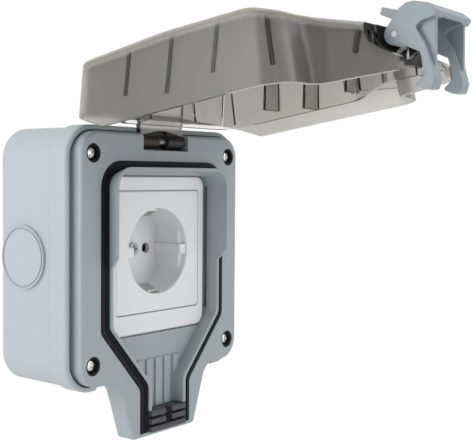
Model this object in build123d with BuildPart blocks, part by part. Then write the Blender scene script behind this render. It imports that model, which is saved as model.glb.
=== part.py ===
from build123d import *
import os
from math import atan2, degrees, tan

os.makedirs("parts", exist_ok=True)

# Outdoor weatherproof socket: wall box, front frame, smoked lid on a hinge, rocker clip, socket insert.
# The origin is the centre of the wall face, +Z is up, +X is right seen from the front, -Y is the front.
# Depths count from the wall face towards the front. The lid is drawn closed and turned open about its pin.

# Wall box
box_width = 111.0
box_height = 112.4
box_corner = 13.5
box_wall = 3.4
box_depth = 43.8
box_edge_round = 3.0
rim_band = 9.3
rim_overhang = 1.0
rim_wall = 2.1
rim_recess = 5.5
rim_edge_round = 1.2
fixing_pitch_x = 60.0
fixing_pitch_z = 60.0
fixing_hole_d = 5.0
knockout_d = 27.6
knockout_raise = 1.2
knockout_from_wall = 16.5
knockout_web = 1.2
knockout_groove = 1.0
box_seal_width = 1.0
box_seal_height = 1.0

# Cover screws
screw_from_side = 10.5
screw_from_end = 11.2
screw_shank_d = 4.0
screw_head_d = 5.6
screw_head_height = 2.4
screw_reach = 12.0
screw_hole_depth = 14.0
screw_slot_width = 1.0
screw_slot_depth = 0.9
screw_slot_share = 0.6
screw_post_d = 12.5
seal_washer_d = 8.0
seal_washer_thickness = 0.8
seal_sleeve_d = 6.2
seal_sleeve_below = 0.4
counterbore_d = 8.2
counterbore_depth = 6.0
thread_gap = 0.02
bolt_gap = 0.2

# Front frame
face_side_step = 3.5
face_end_step = 1.7
face_corner = 10.0
face_step = 4.7
face_plate = 4.0
face_edge_round = 1.5
face_wall = 4.0
flange_gap = 0.3
moat_depth = 2.3
chin_root_half = 29.5
chin_foot_half = 20.5
chin_length = 27.5
chin_root_round = 9.0
chin_foot_round = 2.0
chin_thickness = 9.5
chin_gap = 0.3

# Aperture track: the collar, the gasket and the lid's sealing wall all follow this outline
track_half = 36.0
track_top = 37.3
track_knee_z = -30.2
track_ankle_z = -58.2
track_chin_half = 11.8
track_foot_rise = 2.0
track_corner = 7.0
track_knee_round = 5.0
collar_wall = 1.6
collar_rise = 6.4
collar_low_rise = 1.6
collar_flare = 2.0
collar_step_z = 0.4
gasket_width = 4.7
gasket_depth = 3.0
gasket_proud = 0.4
gasket_gap = 0.2
gasket_bead_gap = 0.9
tub_wall = 7.0

# Socket seat, ramp and cable seal in the frame
ledge_thickness = 2.0
seat_foot_z = -36.6
ramp_rise = 1.5
ramp_rib_count = 5
ramp_rib_pitch = 5.9
ramp_rib_width = 4.1
ramp_rib_height = 0.8
ramp_rib_top_z = -48.0
plate_slot_depth = 3.5
plate_slot_height = 1.9
cable_seal_height = 10.0
cable_seal_floor = 2.5
cable_seal_gap = 0.3
cable_seal_back = 2.4
cable_fin_count = 3
cable_fin_thickness = 2.2
cable_fin_rise = 2.5
cable_fin_parting = 4.4
hook_seat_back = 3.0
hook_seat_inner = 8.0
hook_seat_outer = 17.5
hook_seat_height = 8.5

# Hinge
hinge_from_face = 4.5
hinge_from_end = 3.5
hinge_pin_d = 3.0
hinge_pin_length = 38.0
hinge_block_half = 21.0
hinge_block_floor = 1.6
hinge_notch_half = 15.0
hinge_notch_drop = 4.1
hinge_notch_depth = 9.0
running_gap = 0.05
open_angle = 98.94

# Lid
lid_wall = 2.0
lid_lip_gap = 0.5
lid_lip_overlap = 3.2
lid_end_gap = 2.5
lid_draft = 3.0
lid_past_hinge = 2.5
lid_hinge_end_draft = 6.9
lid_rise_hinge = 30.0
lid_rise_middle = 31.8
lid_rise_knee = 30.6
lid_rise_end = 18.6
lid_middle_z = -4.0
lid_knee_z = -44.0
lid_past_chin = 0.5
lid_crown_round = 7.5
lid_crown_trim = 0.1
lid_middle_round = 150.0
lid_knee_round = 25.0
lid_end_round = 3.0
lid_edge_round = 1.6
lid_seal_wall = 1.8
lid_seal_wall_inset = 2.4
lid_seal_gap = 0.3
relief_start_z = 32.0
relief_slope = 0.43
web_thickness = 1.6
web_lean = 0.19
side_webs = [(18.5, 11.0), (-3.5, 7.5), (-26.5, 10.5)]
end_web_xs = [15.0, 45.0]
end_web_rise = 8.0
chin_web_from_foot = 11.5
chin_web_rise = 10.3
corner_web_rise = 8.0
corner_web_length = 36.0
tongue_half = 14.0
tongue_thickness = 2.4
tongue_drop = 1.2
tongue_start = 4.6
tongue_reach = 8.0
knuckle_length = 11.0
knuckle_r = 3.4
clip_bay_half = 16.5
clip_bay_length = 6.5
clip_bay_floor_rise = 8.0

# Rocker clip
clip_pin_from_foot = 1.0
clip_pin_rise = 16.1
clip_pin_d = 2.2
clip_half = 14.4
clip_cheek = 6.0
clip_boss_r = 4.0
clip_web = 1.4
clip_tab_half = 12.5
clip_round = 0.8
clip_cheek_points = [
    (-2.6, 3.0),
    (3.4, 8.8),
    (6.3, 10.0),
    (9.5, 9.8),
    (14.8, 7.8),
    (17.8, 4.4),
    (16.3, 2.6),
    (11.3, 2.2),
    (8.7, 0.7),
    (11.5, -6.0),
    (12.9, -13.3),
    (13.6, -19.0),
    (12.0, -22.4),
    (9.0, -22.0),
    (5.6, -19.8),
    (10.2, -16.6),
    (9.2, -8.6),
    (1.6, -3.7),
]
clip_roof_points = [
    (1.8, 5.4),
    (3.4, 8.8),
    (6.3, 10.0),
    (9.5, 9.8),
    (14.8, 7.8),
    (17.8, 4.4),
    (16.3, 2.6),
    (13.4, 5.4),
    (9.3, 7.4),
    (6.6, 7.5),
    (4.2, 6.0),
]
clip_tab_points = [(-4.4, 11.4), (-5.6, 8.9), (1.2, 4.6), (5.0, 6.6), (4.6, 8.6), (2.4, 8.4)]
clip_web_points = [
    (5.4, 7.8),
    (9.3, 8.6),
    (16.2, 4.8),
    (13.7, -12.8),
    (12.8, -15.6),
    (10.6, -12.0),
    (9.4, -6.0),
    (7.6, 1.0),
]
clip_clearance_points = [
    (-6.4, 12.0),
    (-6.4, 1.0),
    (-5.0, -2.6),
    (-2.7, -4.8),
    (3.7, -9.0),
    (3.7, -18.0),
    (14.0, -18.0),
    (14.0, 12.0),
]
clip_clearance_round = 2.0
lug_inner = 4.4
lug_outer = 8.0
lug_r = 3.4

# Socket insert
insert_z = 1.1
plate_from_face = 4.3
plate_width = 63.0
plate_top_z = 35.3
plate_foot_z = -35.8
plate_corner = 5.0
plate_thickness = 2.2
plate_edge_round = 0.8
centre_size = 55.2
centre_gap = 0.3
centre_side_gap = 0.12
centre_corner = 1.5
recess_d = 39.0
recess_depth = 17.5
cup_wall = 2.0
cup_floor = 2.5
flat_from_centre = 16.6
flat_height = 23.0
flat_below_mouth = 3.0
rail_width = 4.4
rail_proud = 1.2
rail_below_mouth = 1.0
pin_pitch = 19.0
pin_hole_d = 5.0
clip_notch_width = 8.4
ledge_opening = 49.0
yoke_width = 62.0
yoke_height = 72.0
yoke_thickness = 1.2
yoke_hole_d = 44.0
plate_screw_pitch = 62.0
plate_screw_d = 3.0
plate_screw_head_d = 5.6
plate_screw_head = 1.8
centre_screw_d = 3.5
centre_screw_head_d = 6.0
centre_screw_head = 1.6
centre_screw_reach = 8.0
strap_thickness = 0.8
strap_width = 6.0
strap_half = 18.6
strap_bow = 1.6
strap_reach = 13.5
strap_slot_inner = 16.2
base_d = 50.0
base_rear = 10.0
base_fit_gap = 0.5
contact_d = 7.0
contact_bore_d = 5.0
contact_rear = 13.0
contact_floor = 1.0
contact_block_reach = 19.0
contact_block_height = 8.0
contact_block_depth = 6.0
contact_gap = 0.05
terminal_screw_x = 15.5
terminal_screw_d = 3.0
terminal_head_d = 5.0
terminal_head = 1.6

# Depths and heights worked out from the sizes above
seat_depth = box_depth - rim_recess
rim_inset = rim_wall - rim_overhang
seal_inset = (rim_inset + box_wall - box_seal_width) / 2
face_width = box_width - 2 * face_side_step
face_height = box_height - 2 * face_end_step
face_top = face_height / 2
face_foot = -face_height / 2
chin_foot_z = face_foot - chin_length
track_foot_z = chin_foot_z + track_foot_rise
cable_seal_top_z = track_foot_z + cable_seal_height
hook_seat_top_z = chin_foot_z + hook_seat_height
hinge_z = face_top - hinge_from_end
hinge_notch_z = hinge_z - hinge_notch_drop
tongue_z = hinge_z - tongue_drop
lid_hinge_end_z = hinge_z + lid_past_hinge
lid_end_z = chin_foot_z - lid_past_chin
chin_web_z = chin_foot_z + chin_web_from_foot
clip_bay_z = chin_foot_z + clip_bay_length
clip_pin_z = chin_foot_z + clip_pin_from_foot
face_depth = box_depth + face_step
moat_floor = box_depth - moat_depth
plate_rear_of_face = face_depth - face_plate
chin_rear = face_depth - chin_thickness
gasket_floor = face_depth - gasket_depth
plate_front = face_depth - plate_from_face
seat_floor = plate_front - plate_thickness
ledge_rear = seat_floor - ledge_thickness
ramp_floor = seat_floor + ramp_rise
hook_seat_depth = chin_rear + hook_seat_back
cable_seat_floor = hook_seat_depth + cable_seal_floor
hinge_depth = face_depth - hinge_from_face
rim_depth = face_depth - lid_lip_overlap
seal_wall_rear = face_depth + gasket_proud + lid_seal_gap
lid_top = hinge_depth + lid_rise_middle
lid_foot_z = chin_foot_z - lid_end_gap - lid_lip_gap - lid_wall
clip_pin_depth = hinge_depth + clip_pin_rise
cup_floor_front = plate_front - recess_depth
cup_floor_rear = cup_floor_front - cup_floor
strap_rear = cup_floor_rear - strap_thickness
yoke_rear = ledge_rear - yoke_thickness
screw_x = box_width / 2 - screw_from_side
screw_z = box_height / 2 - screw_from_end
screw_points = [(x * screw_x, z * screw_z) for x in (-1, 1) for z in (-1, 1)]
plate_screw_points = [(0, insert_z + turn * plate_screw_pitch / 2) for turn in (-1, 1)]
knee_turn = atan2(track_half - track_chin_half, track_knee_z - track_ankle_z)

# The turn that carries the closed lid to its open place
hinge_at = Pos(0, -hinge_depth, hinge_z)
open_turn = hinge_at * Rot(-open_angle, 0, 0) * hinge_at.inverse()


def front(depth):
    """Sketch plane parallel to the wall, at a depth from it: local axes are X and Z."""
    return Plane.XZ.offset(depth)


def lid_front(depth):
    """The same plane, turned with the open lid."""
    return Plane(open_turn * front(depth).location)


def side(x):
    """Sketch plane across the part at an x: local axes are Y and Z."""
    return Plane.YZ.offset(x)


def lid_side(x):
    """The same plane, turned with the open lid."""
    return Plane(open_turn * side(x).location)


def mirrored(points):
    """Right-hand outline points followed by their mirror images, in order round the outline."""
    return points + [(-x, z) for x, z in reversed(points)]


def track_outline(grow, corner, knee, foot=track_foot_z, mode=Mode.ADD):
    """Aperture outline, grown outwards: square top, two sloping shoulders and a narrow chin."""
    drop = grow * tan(knee_turn / 2)
    half = track_half + grow
    chin_half = track_chin_half + grow
    points = [
        (half, track_top + grow),
        (half, track_knee_z - drop),
        (chin_half, track_ankle_z - drop),
        (chin_half, foot),
    ]
    radii = [corner, knee, knee, 0]
    with BuildLine() as outline:
        FilletPolyline(*mirrored(points), radius=radii + radii[::-1], close=True)
    make_face(outline.edges(), mode=mode)


def track_ring(outer, inner, foot=track_foot_z):
    """Band that follows the aperture outline, between two growths of it."""
    track_outline(outer, track_corner + outer, track_knee_round, foot)
    track_outline(inner, track_corner + inner, track_knee_round, foot, mode=Mode.SUBTRACT)


def face_outline(grow, end=0.0, top=face_top, mode=Mode.ADD):
    """Front face outline, grown outwards: rounded square with a chin that tapers to its foot."""
    half = face_width / 2 + grow
    points = [
        (half, top + grow),
        (half, face_foot - grow),
        (chin_root_half + grow, face_foot - grow),
        (chin_foot_half + grow, chin_foot_z - grow - end),
    ]
    radii = [face_corner + grow, face_corner + grow, chin_root_round - grow, chin_foot_round]
    with BuildLine() as outline:
        FilletPolyline(*mirrored(points), radius=radii + radii[::-1], close=True)
    make_face(outline.edges(), mode=mode)


def box_outline(inset, mode=Mode.ADD):
    """Wall box outline, moved inwards."""
    RectangleRounded(box_width - 2 * inset, box_height - 2 * inset, box_corner - inset, mode=mode)


def screw_circles(diameter):
    """One circle at each cover screw."""
    with Locations(*screw_points):
        Circle(diameter / 2)


def block(plane, x_range, z_range, amount, mode=Mode.ADD):
    """Straight block from a front plane: a rectangle of X and Z ranges, extruded forwards."""
    width = x_range[1] - x_range[0]
    height = z_range[1] - z_range[0]
    with BuildSketch(plane) as section:
        with Locations(((x_range[0] + x_range[1]) / 2, (z_range[0] + z_range[1]) / 2)):
            Rectangle(width, height)
    extrude(section.sketch, amount=amount, mode=mode)


# Wall box: open tub with a thicker rim band, screw posts, side knockouts and wall fixing holes
with BuildPart() as back_box:
    with BuildSketch(front(0)):
        box_outline(0)
    extrude(amount=box_depth)
    fillet(back_box.faces().sort_by(Axis.Y)[-1].edges(), radius=box_edge_round)
    with BuildSketch(front(box_depth - rim_band)):
        box_outline(-rim_overhang)
    extrude(amount=rim_band)
    fillet(back_box.faces().sort_by(Axis.Y)[0].edges(), radius=rim_edge_round)
    with BuildSketch(front(box_wall)):
        box_outline(box_wall)
    extrude(amount=box_depth - box_wall, mode=Mode.SUBTRACT)
    with BuildSketch(front(box_wall)):
        screw_circles(screw_post_d)
    extrude(amount=seat_depth - box_wall)
    with BuildSketch(front(seat_depth)):
        box_outline(rim_inset)
    extrude(amount=rim_recess, mode=Mode.SUBTRACT)
    with BuildSketch(front(seat_depth)):
        screw_circles(screw_shank_d + 2 * thread_gap)
    extrude(amount=-screw_hole_depth, mode=Mode.SUBTRACT)
    # The rim is open at the chin and at the hinge
    chin_notch_half = chin_root_half + chin_root_round + chin_gap
    block(
        front(chin_rear - chin_gap),
        (-chin_notch_half, chin_notch_half),
        (chin_foot_z, -box_height / 2 + box_wall),
        box_depth - chin_rear + chin_gap,
        mode=Mode.SUBTRACT,
    )
    block(
        front(face_depth - hinge_notch_depth),
        (-hinge_notch_half, hinge_notch_half),
        (hinge_notch_z, box_height),
        box_depth - face_depth + hinge_notch_depth,
        mode=Mode.SUBTRACT,
    )
    with BuildSketch(front(0)):
        with GridLocations(fixing_pitch_x, fixing_pitch_z, 2, 2):
            Circle(fixing_hole_d / 2)
    extrude(amount=box_wall, mode=Mode.SUBTRACT)
    for turn in (1, -1):
        inner_wall = side(turn * (box_width / 2 - box_wall))
        with BuildSketch(inner_wall):
            with Locations((-knockout_from_wall, 0)):
                Circle(knockout_d / 2)
        extrude(amount=turn * (box_wall + knockout_raise))
        with BuildSketch(inner_wall):
            with Locations((-knockout_from_wall, 0)):
                Circle(knockout_d / 2 - knockout_groove)
                Circle(knockout_d / 2 - 2 * knockout_groove, mode=Mode.SUBTRACT)
        extrude(amount=turn * (box_wall - knockout_web), mode=Mode.SUBTRACT)
back_box.part.label = "back_box"

# Rubber ring between the seat in the box rim and the frame
with BuildPart() as box_seal:
    with BuildSketch(front(seat_depth)):
        box_outline(seal_inset)
        box_outline(seal_inset + box_seal_width, mode=Mode.SUBTRACT)
    extrude(amount=box_seal_height)
box_seal.part.label = "box_seal"



def collar_form(grow, mode=Mode.ADD):
    """Flared form that follows the aperture outline, from the face to the collar's rim."""
    with BuildSketch(front(face_depth)) as foot:
        track_outline(grow, track_corner + grow, track_knee_round)
    with BuildSketch(front(face_depth + collar_rise)) as rim:
        track_outline(grow + collar_flare, track_corner + grow + collar_flare, track_knee_round)
    loft([foot.sketch, rim.sketch], ruled=True, mode=mode)


# Front frame: flange inside the box rim, raised face and chin
with BuildPart() as front_frame:
    with BuildSketch(front(seat_depth)):
        box_outline(rim_inset + flange_gap)
    extrude(amount=moat_floor - seat_depth)
    with BuildSketch(front(chin_rear)):
        face_outline(0)
    extrude(amount=face_depth - chin_rear)
    fillet(front_frame.faces().sort_by(Axis.Y)[0].edges(), radius=face_edge_round)
    # Hollow rear, with bosses for the screws, a tub round the aperture and a block for the hinge
    with BuildSketch(front(seat_depth)):
        RectangleRounded(face_width - 2 * face_wall, face_height - 2 * face_wall, face_corner - face_wall)
    extrude(amount=plate_rear_of_face - seat_depth, mode=Mode.SUBTRACT)
    with BuildSketch(front(seat_depth)):
        screw_circles(screw_post_d)
    extrude(amount=plate_rear_of_face - seat_depth)
    with BuildSketch(front(ledge_rear)):
        track_outline(tub_wall, track_corner + tub_wall, track_knee_round)
    extrude(amount=face_depth - ledge_rear)
    block(
        front(seat_depth),
        (-hinge_block_half, hinge_block_half),
        (hinge_notch_z - hinge_block_floor, face_top - face_edge_round),
        plate_rear_of_face - seat_depth,
    )
    # Collar with its step, then the seat for the socket, the ramp and the cable seal
    with BuildSketch(front(gasket_floor)):
        track_ring(gasket_width, 0)
    extrude(amount=gasket_depth, mode=Mode.SUBTRACT)
    with BuildSketch(front(gasket_floor)):
        track_ring(0, -collar_wall)
    extrude(amount=gasket_depth)
    collar_form(0)
    collar_form(-collar_wall, mode=Mode.SUBTRACT)
    with BuildSketch(side(0)):
        with BuildLine():
            collar_top = -(face_depth + collar_rise)
            collar_low = -(face_depth + collar_low_rise)
            Polyline(
                (collar_top - 1, collar_step_z),
                (collar_top, collar_step_z),
                (collar_low, collar_step_z - (collar_rise - collar_low_rise)),
                (collar_low, chin_foot_z),
                (collar_top - 1, chin_foot_z),
                close=True,
            )
        make_face()
    extrude(amount=face_width / 2, both=True, mode=Mode.SUBTRACT)
    with BuildSketch(front(ramp_floor)):
        track_outline(-collar_wall, track_corner - collar_wall, track_knee_round)
    extrude(amount=face_depth - ramp_floor, mode=Mode.SUBTRACT)
    with BuildSketch(front(seat_floor)):
        track_outline(-collar_wall, track_corner - collar_wall, track_knee_round)
        with Locations((0, seat_foot_z + face_height / 2)):
            Rectangle(face_width, face_height, mode=Mode.INTERSECT)
    extrude(amount=ramp_rise, mode=Mode.SUBTRACT)
    for index in range(ramp_rib_count):
        rib_x = (index - (ramp_rib_count - 1) / 2) * ramp_rib_pitch
        block(
            front(ramp_floor),
            (rib_x - ramp_rib_width / 2, rib_x + ramp_rib_width / 2),
            (cable_seal_top_z, ramp_rib_top_z),
            ramp_rib_height,
        )
    block(
        front(cable_seat_floor),
        (-track_chin_half, track_chin_half),
        (track_foot_z, cable_seal_top_z),
        face_depth + collar_rise - cable_seat_floor,
        mode=Mode.SUBTRACT,
    )
    collar_end_half = track_chin_half + collar_flare
    block(
        front(face_depth),
        (-collar_end_half, collar_end_half),
        (track_foot_z, cable_seal_top_z),
        collar_rise,
        mode=Mode.SUBTRACT,
    )
    seat_half = track_half - collar_wall
    for turn in (1, -1):
        block(
            front(chin_rear),
            sorted((turn * hook_seat_inner, turn * hook_seat_outer)),
            (chin_foot_z - hook_seat_back, hook_seat_top_z),
            hook_seat_depth - chin_rear,
            mode=Mode.SUBTRACT,
        )
        block(
            front(seat_floor),
            sorted((turn * seat_half, turn * (seat_half + plate_slot_depth))),
            (plate_foot_z + plate_corner, plate_top_z - plate_corner),
            plate_slot_height,
            mode=Mode.SUBTRACT,
        )
    # Socket opening, screw holes, seal groove, hinge notch and pin hole
    with BuildSketch(front(ledge_rear)):
        with Locations((0, insert_z)):
            RectangleRounded(ledge_opening, ledge_opening, centre_corner)
    extrude(amount=ledge_thickness, mode=Mode.SUBTRACT)
    with BuildSketch(front(ledge_rear)):
        with Locations(*plate_screw_points):
            Circle(plate_screw_d / 2 + bolt_gap)
    extrude(amount=ledge_thickness, mode=Mode.SUBTRACT)
    with BuildSketch(front(seat_depth)):
        screw_circles(screw_shank_d + 2 * bolt_gap)
    extrude(amount=face_depth - seat_depth, mode=Mode.SUBTRACT)
    with BuildSketch(front(face_depth)):
        screw_circles(counterbore_d)
    extrude(amount=-counterbore_depth, mode=Mode.SUBTRACT)
    with BuildSketch(front(seat_depth)):
        box_outline(seal_inset)
        box_outline(seal_inset + box_seal_width, mode=Mode.SUBTRACT)
    extrude(amount=box_seal_height, mode=Mode.SUBTRACT)
    block(
        front(face_depth - hinge_notch_depth),
        (-hinge_notch_half, hinge_notch_half),
        (hinge_notch_z, box_height),
        hinge_notch_depth,
        mode=Mode.SUBTRACT,
    )
    with BuildSketch(side(-hinge_pin_length / 2)):
        with Locations((-hinge_depth, hinge_z)):
            Circle(hinge_pin_d / 2 + thread_gap)
    extrude(amount=hinge_pin_length, mode=Mode.SUBTRACT)
front_frame.part.label = "front_frame"

# Black seal in its groove round the collar, with a shallow channel along its crest
with BuildPart() as lid_gasket:
    with BuildSketch(front(gasket_floor)):
        track_ring(gasket_width - gasket_gap, gasket_gap, track_foot_z + gasket_gap)
    extrude(amount=gasket_depth + gasket_proud)
    with BuildSketch(front(face_depth)):
        track_ring((gasket_width + gasket_bead_gap) / 2, (gasket_width - gasket_bead_gap) / 2)
    extrude(amount=gasket_proud, mode=Mode.SUBTRACT)
    block(
        front(gasket_floor),
        (-track_chin_half, track_chin_half),
        (chin_foot_z, cable_seal_top_z),
        gasket_depth + collar_rise,
        mode=Mode.SUBTRACT,
    )
lid_gasket.part.label = "lid_gasket"

# Finned rubber block that closes round the cable
with BuildPart() as cable_seal:
    seal_half = track_chin_half - cable_seal_gap
    seal_z = (track_foot_z + cable_seal_gap, cable_seal_top_z - cable_seal_gap)
    fin_front = face_depth + cable_fin_rise
    block(front(cable_seat_floor), (-seal_half, seal_half), seal_z, cable_seal_back)
    fin_pitch = (seal_z[1] - seal_z[0] - cable_fin_thickness) / (cable_fin_count - 1)
    for index in range(cable_fin_count):
        fin_z = seal_z[0] + index * fin_pitch
        fin_span = (fin_z, fin_z + cable_fin_thickness)
        block(front(cable_seat_floor), (-seal_half, seal_half), fin_span, fin_front - cable_seat_floor)
    block(
        front(cable_seat_floor + cable_seal_back),
        (-cable_fin_parting / 2, cable_fin_parting / 2),
        (seal_z[0] + cable_fin_thickness, seal_z[1]),
        fin_front - cable_seat_floor,
        mode=Mode.SUBTRACT,
    )
cable_seal.part.label = "cable_seal"

# Cover screws, each in a rubber washer with a sleeve that lines the hole
washer_rear = face_depth - counterbore_depth
head_rear = washer_rear + seal_washer_thickness
with BuildPart() as screw_seals:
    with BuildSketch(front(washer_rear)):
        with Locations(*screw_points):
            Circle(seal_washer_d / 2)
            Circle(screw_shank_d / 2 + bolt_gap, mode=Mode.SUBTRACT)
    extrude(amount=seal_washer_thickness)
    with BuildSketch(front(head_rear)):
        with Locations(*screw_points):
            Circle(seal_washer_d / 2)
            Circle(seal_sleeve_d / 2, mode=Mode.SUBTRACT)
    extrude(amount=face_depth - seal_sleeve_below - head_rear)
screw_seals.part.label = "screw_seals"

with BuildPart() as cover_screws:
    with BuildSketch(front(seat_depth - screw_reach)):
        screw_circles(screw_shank_d)
    extrude(amount=head_rear - seat_depth + screw_reach)
    with BuildSketch(front(head_rear)):
        screw_circles(screw_head_d)
    extrude(amount=screw_head_height)
    with BuildSketch(front(head_rear + screw_head_height)):
        with Locations(*screw_points):
            Rectangle(screw_slot_width, screw_head_d * screw_slot_share)
            Rectangle(screw_head_d * screw_slot_share, screw_slot_width)
    extrude(amount=-screw_slot_depth, mode=Mode.SUBTRACT)
cover_screws.part.label = "cover_screws"

with BuildPart() as hinge_pin:
    with BuildSketch(side(-hinge_pin_length / 2)):
        with Locations((-hinge_depth, hinge_z)):
            Circle(hinge_pin_d / 2)
    extrude(amount=hinge_pin_length)
hinge_pin.part.label = "hinge_pin"


def side_outline(points, radii):
    """Closed outline in the lid's side plane, from points of depth and height."""
    with BuildLine() as outline:
        FilletPolyline(*[(-depth, z) for depth, z in points], radius=radii, close=True)
    make_face(outline.edges())


def lid_blank(inset, base, edge=0.0):
    """Solid form of the lid, moved inwards by a wall: drafted outline under the crowned outer face."""
    rise = hinge_depth - inset
    grow = lid_lip_gap + lid_wall - inset
    hinge_end = lid_hinge_end_z - lid_lip_gap - lid_wall
    crown = rise + lid_rise_hinge
    end_z = lid_hinge_end_z - inset - lid_crown_trim
    profile = [
        (crown, end_z - lid_hinge_end_draft * (crown - base) / (lid_top - base)),
        (rise + lid_rise_middle, lid_middle_z),
        (rise + lid_rise_knee, lid_knee_z),
        (rise + lid_rise_end, lid_end_z + inset),
        (base, lid_foot_z + inset),
        (base, end_z),
    ]
    radii = [lid_crown_round - inset, lid_middle_round, lid_knee_round, lid_end_round, 0, 0]
    with BuildPart() as blank:
        with BuildSketch(front(base)):
            face_outline(grow, lid_end_gap, hinge_end)
        with BuildSketch(front(lid_top)):
            face_outline(grow - lid_draft, lid_end_gap, hinge_end - lid_hinge_end_draft + lid_draft)
        loft(ruled=True)
        with BuildSketch(side(0)):
            side_outline(profile, radii)
        extrude(amount=face_width, both=True, mode=Mode.INTERSECT)
        if edge > 0:
            crests = [crest for crest in blank.edges() if crest.center().Y < -hinge_depth - lid_rise_end]
            fillet([crest for crest in crests if crest.geom_type != GeomType.LINE], radius=edge)
    return open_turn * blank.part


def web_outline(z, rise):
    """Leaning strip in the lid's side plane, from a rise above the hinge to the lid's face."""
    reach = lid_rise_middle - rise
    start = hinge_depth + rise
    half = web_thickness / 2
    side_outline(
        [
            (start, z - half),
            (start, z + half),
            (start + reach, z + half - reach * web_lean),
            (start + reach, z - half - reach * web_lean),
        ],
        [0, 0, 0, 0],
    )


def clip_outline(points, radius):
    """Closed outline of the clip, from points along the lid and out from it, counted from the clip's pin."""
    corners = [(clip_pin_depth + out, clip_pin_z - along) for along, out in points]
    side_outline(corners, [radius] * len(corners))


lid_outer = lid_blank(0, rim_depth, lid_edge_round)
lid_inner = lid_blank(lid_wall, rim_depth)
lid_middle = lid_blank(lid_wall / 2, rim_depth)
bay_outer = clip_bay_half + lid_wall
bay_top_z = clip_bay_z + lid_wall

# Inner walls of the lid: the sealing wall that meets the gasket, its webs to the shell, the bay walls
with BuildPart() as lid_walls:
    with BuildSketch(lid_front(seal_wall_rear)):
        track_ring(lid_seal_wall_inset + lid_seal_wall, lid_seal_wall_inset)
    extrude(amount=lid_top - seal_wall_rear)
    web_root_x = track_half + lid_seal_wall_inset + lid_seal_wall / 2
    for web_z, web_rise in side_webs:
        for turn in (1, -1):
            with BuildSketch(lid_side(turn * web_root_x)):
                web_outline(web_z, web_rise)
            extrude(amount=turn * (box_width / 2 - web_root_x))
    chin_web_root_x = track_chin_half + lid_seal_wall_inset + lid_seal_wall / 2
    for turn in (1, -1):
        with BuildSketch(lid_side(turn * chin_web_root_x)):
            web_outline(chin_web_z, chin_web_rise)
        extrude(amount=turn * chin_root_half)
    end_web_z = track_top + lid_seal_wall_inset + lid_seal_wall / 2
    for web_x in end_web_xs:
        for turn in (1, -1):
            block(
                lid_front(hinge_depth + end_web_rise),
                (turn * web_x - web_thickness / 2, turn * web_x + web_thickness / 2),
                (end_web_z, lid_hinge_end_z),
                lid_rise_middle - end_web_rise,
            )
    for turn in (1, -1):
        with BuildSketch(lid_front(hinge_depth + corner_web_rise)):
            with Locations((turn * (face_width / 2 - face_corner), face_foot + face_corner)):
                Rectangle(corner_web_length, web_thickness, rotation=-turn * degrees(knee_turn))
        extrude(amount=lid_rise_middle - corner_web_rise)
    bay_span = (lid_foot_z, bay_top_z)
    block(lid_front(seal_wall_rear), (-bay_outer, bay_outer), bay_span, lid_top - seal_wall_rear)
    add(lid_middle, mode=Mode.INTERSECT)

# Smoked lid: shell, inner walls, clip bay with its lugs, and the hinge tongue with two knuckles
with BuildPart() as lid_cover:
    add(lid_outer)
    add(lid_inner, mode=Mode.SUBTRACT)
    add(lid_walls.part)
    bay_span = (-clip_bay_half, clip_bay_half)
    block(lid_front(rim_depth), bay_span, (lid_foot_z, clip_bay_z), lid_top - rim_depth, mode=Mode.SUBTRACT)
    block(
        lid_front(rim_depth),
        bay_span,
        (clip_bay_z, bay_top_z),
        hinge_depth + clip_bay_floor_rise - rim_depth,
        mode=Mode.SUBTRACT,
    )
    for turn in (1, -1):
        with BuildSketch(lid_side(turn * clip_bay_half)):
            clip_outline(clip_clearance_points, clip_clearance_round)
        extrude(amount=turn * chin_root_half, mode=Mode.SUBTRACT)
    with BuildSketch(lid_side(0)):
        relief_end_z = lid_hinge_end_z + lid_wall
        relief_depth = rim_depth + (relief_end_z - relief_start_z) * relief_slope
        relief = [(rim_depth, relief_start_z), (relief_depth, relief_end_z), (rim_depth, relief_end_z)]
        side_outline(relief, [0, 0, 0])
    extrude(amount=face_width, both=True, mode=Mode.SUBTRACT)
    tongue_span = (tongue_z - tongue_thickness / 2, tongue_z + tongue_thickness / 2)
    block(lid_front(hinge_depth + tongue_start), (-tongue_half, tongue_half), tongue_span, tongue_reach)
    for turn in (1, -1):
        knuckle_inner = tongue_half - knuckle_length
        block(
            lid_front(hinge_depth),
            sorted((turn * knuckle_inner, turn * tongue_half)),
            tongue_span,
            tongue_start + tongue_thickness,
        )
        with BuildSketch(lid_side(turn * knuckle_inner)):
            with Locations((-hinge_depth, hinge_z)):
                Circle(knuckle_r)
        extrude(amount=turn * knuckle_length)
        with BuildSketch(lid_side(turn * lug_inner)):
            side_outline(
                [
                    (clip_pin_depth + lug_r, clip_pin_z),
                    (clip_pin_depth + lug_r, clip_bay_z + lid_wall / 2),
                    (clip_pin_depth - 2 * lug_r, clip_bay_z + lid_wall / 2),
                    (clip_pin_depth - lug_r, clip_pin_z),
                ],
                [0, 0, 0, 0],
            )
            with Locations((-clip_pin_depth, clip_pin_z)):
                Circle(lug_r)
        extrude(amount=turn * (lug_outer - lug_inner))
    with BuildSketch(lid_side(0)):
        with Locations((-hinge_depth, hinge_z)):
            Circle(hinge_pin_d / 2 + running_gap)
        with Locations((-clip_pin_depth, clip_pin_z)):
            Circle(clip_pin_d / 2 + thread_gap)
    extrude(amount=tongue_half, both=True, mode=Mode.SUBTRACT)
lid_cover.part.label = "lid_cover"

# Pin of the clip, and the rocker clip: roof with a thumb tab, two hooked arms with a thin web in their bend
with BuildPart() as latch_pin:
    with BuildSketch(lid_side(0)):
        with Locations((-clip_pin_depth, clip_pin_z)):
            Circle(clip_pin_d / 2)
    extrude(amount=clip_half, both=True)
latch_pin.part.label = "latch_pin"


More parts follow.
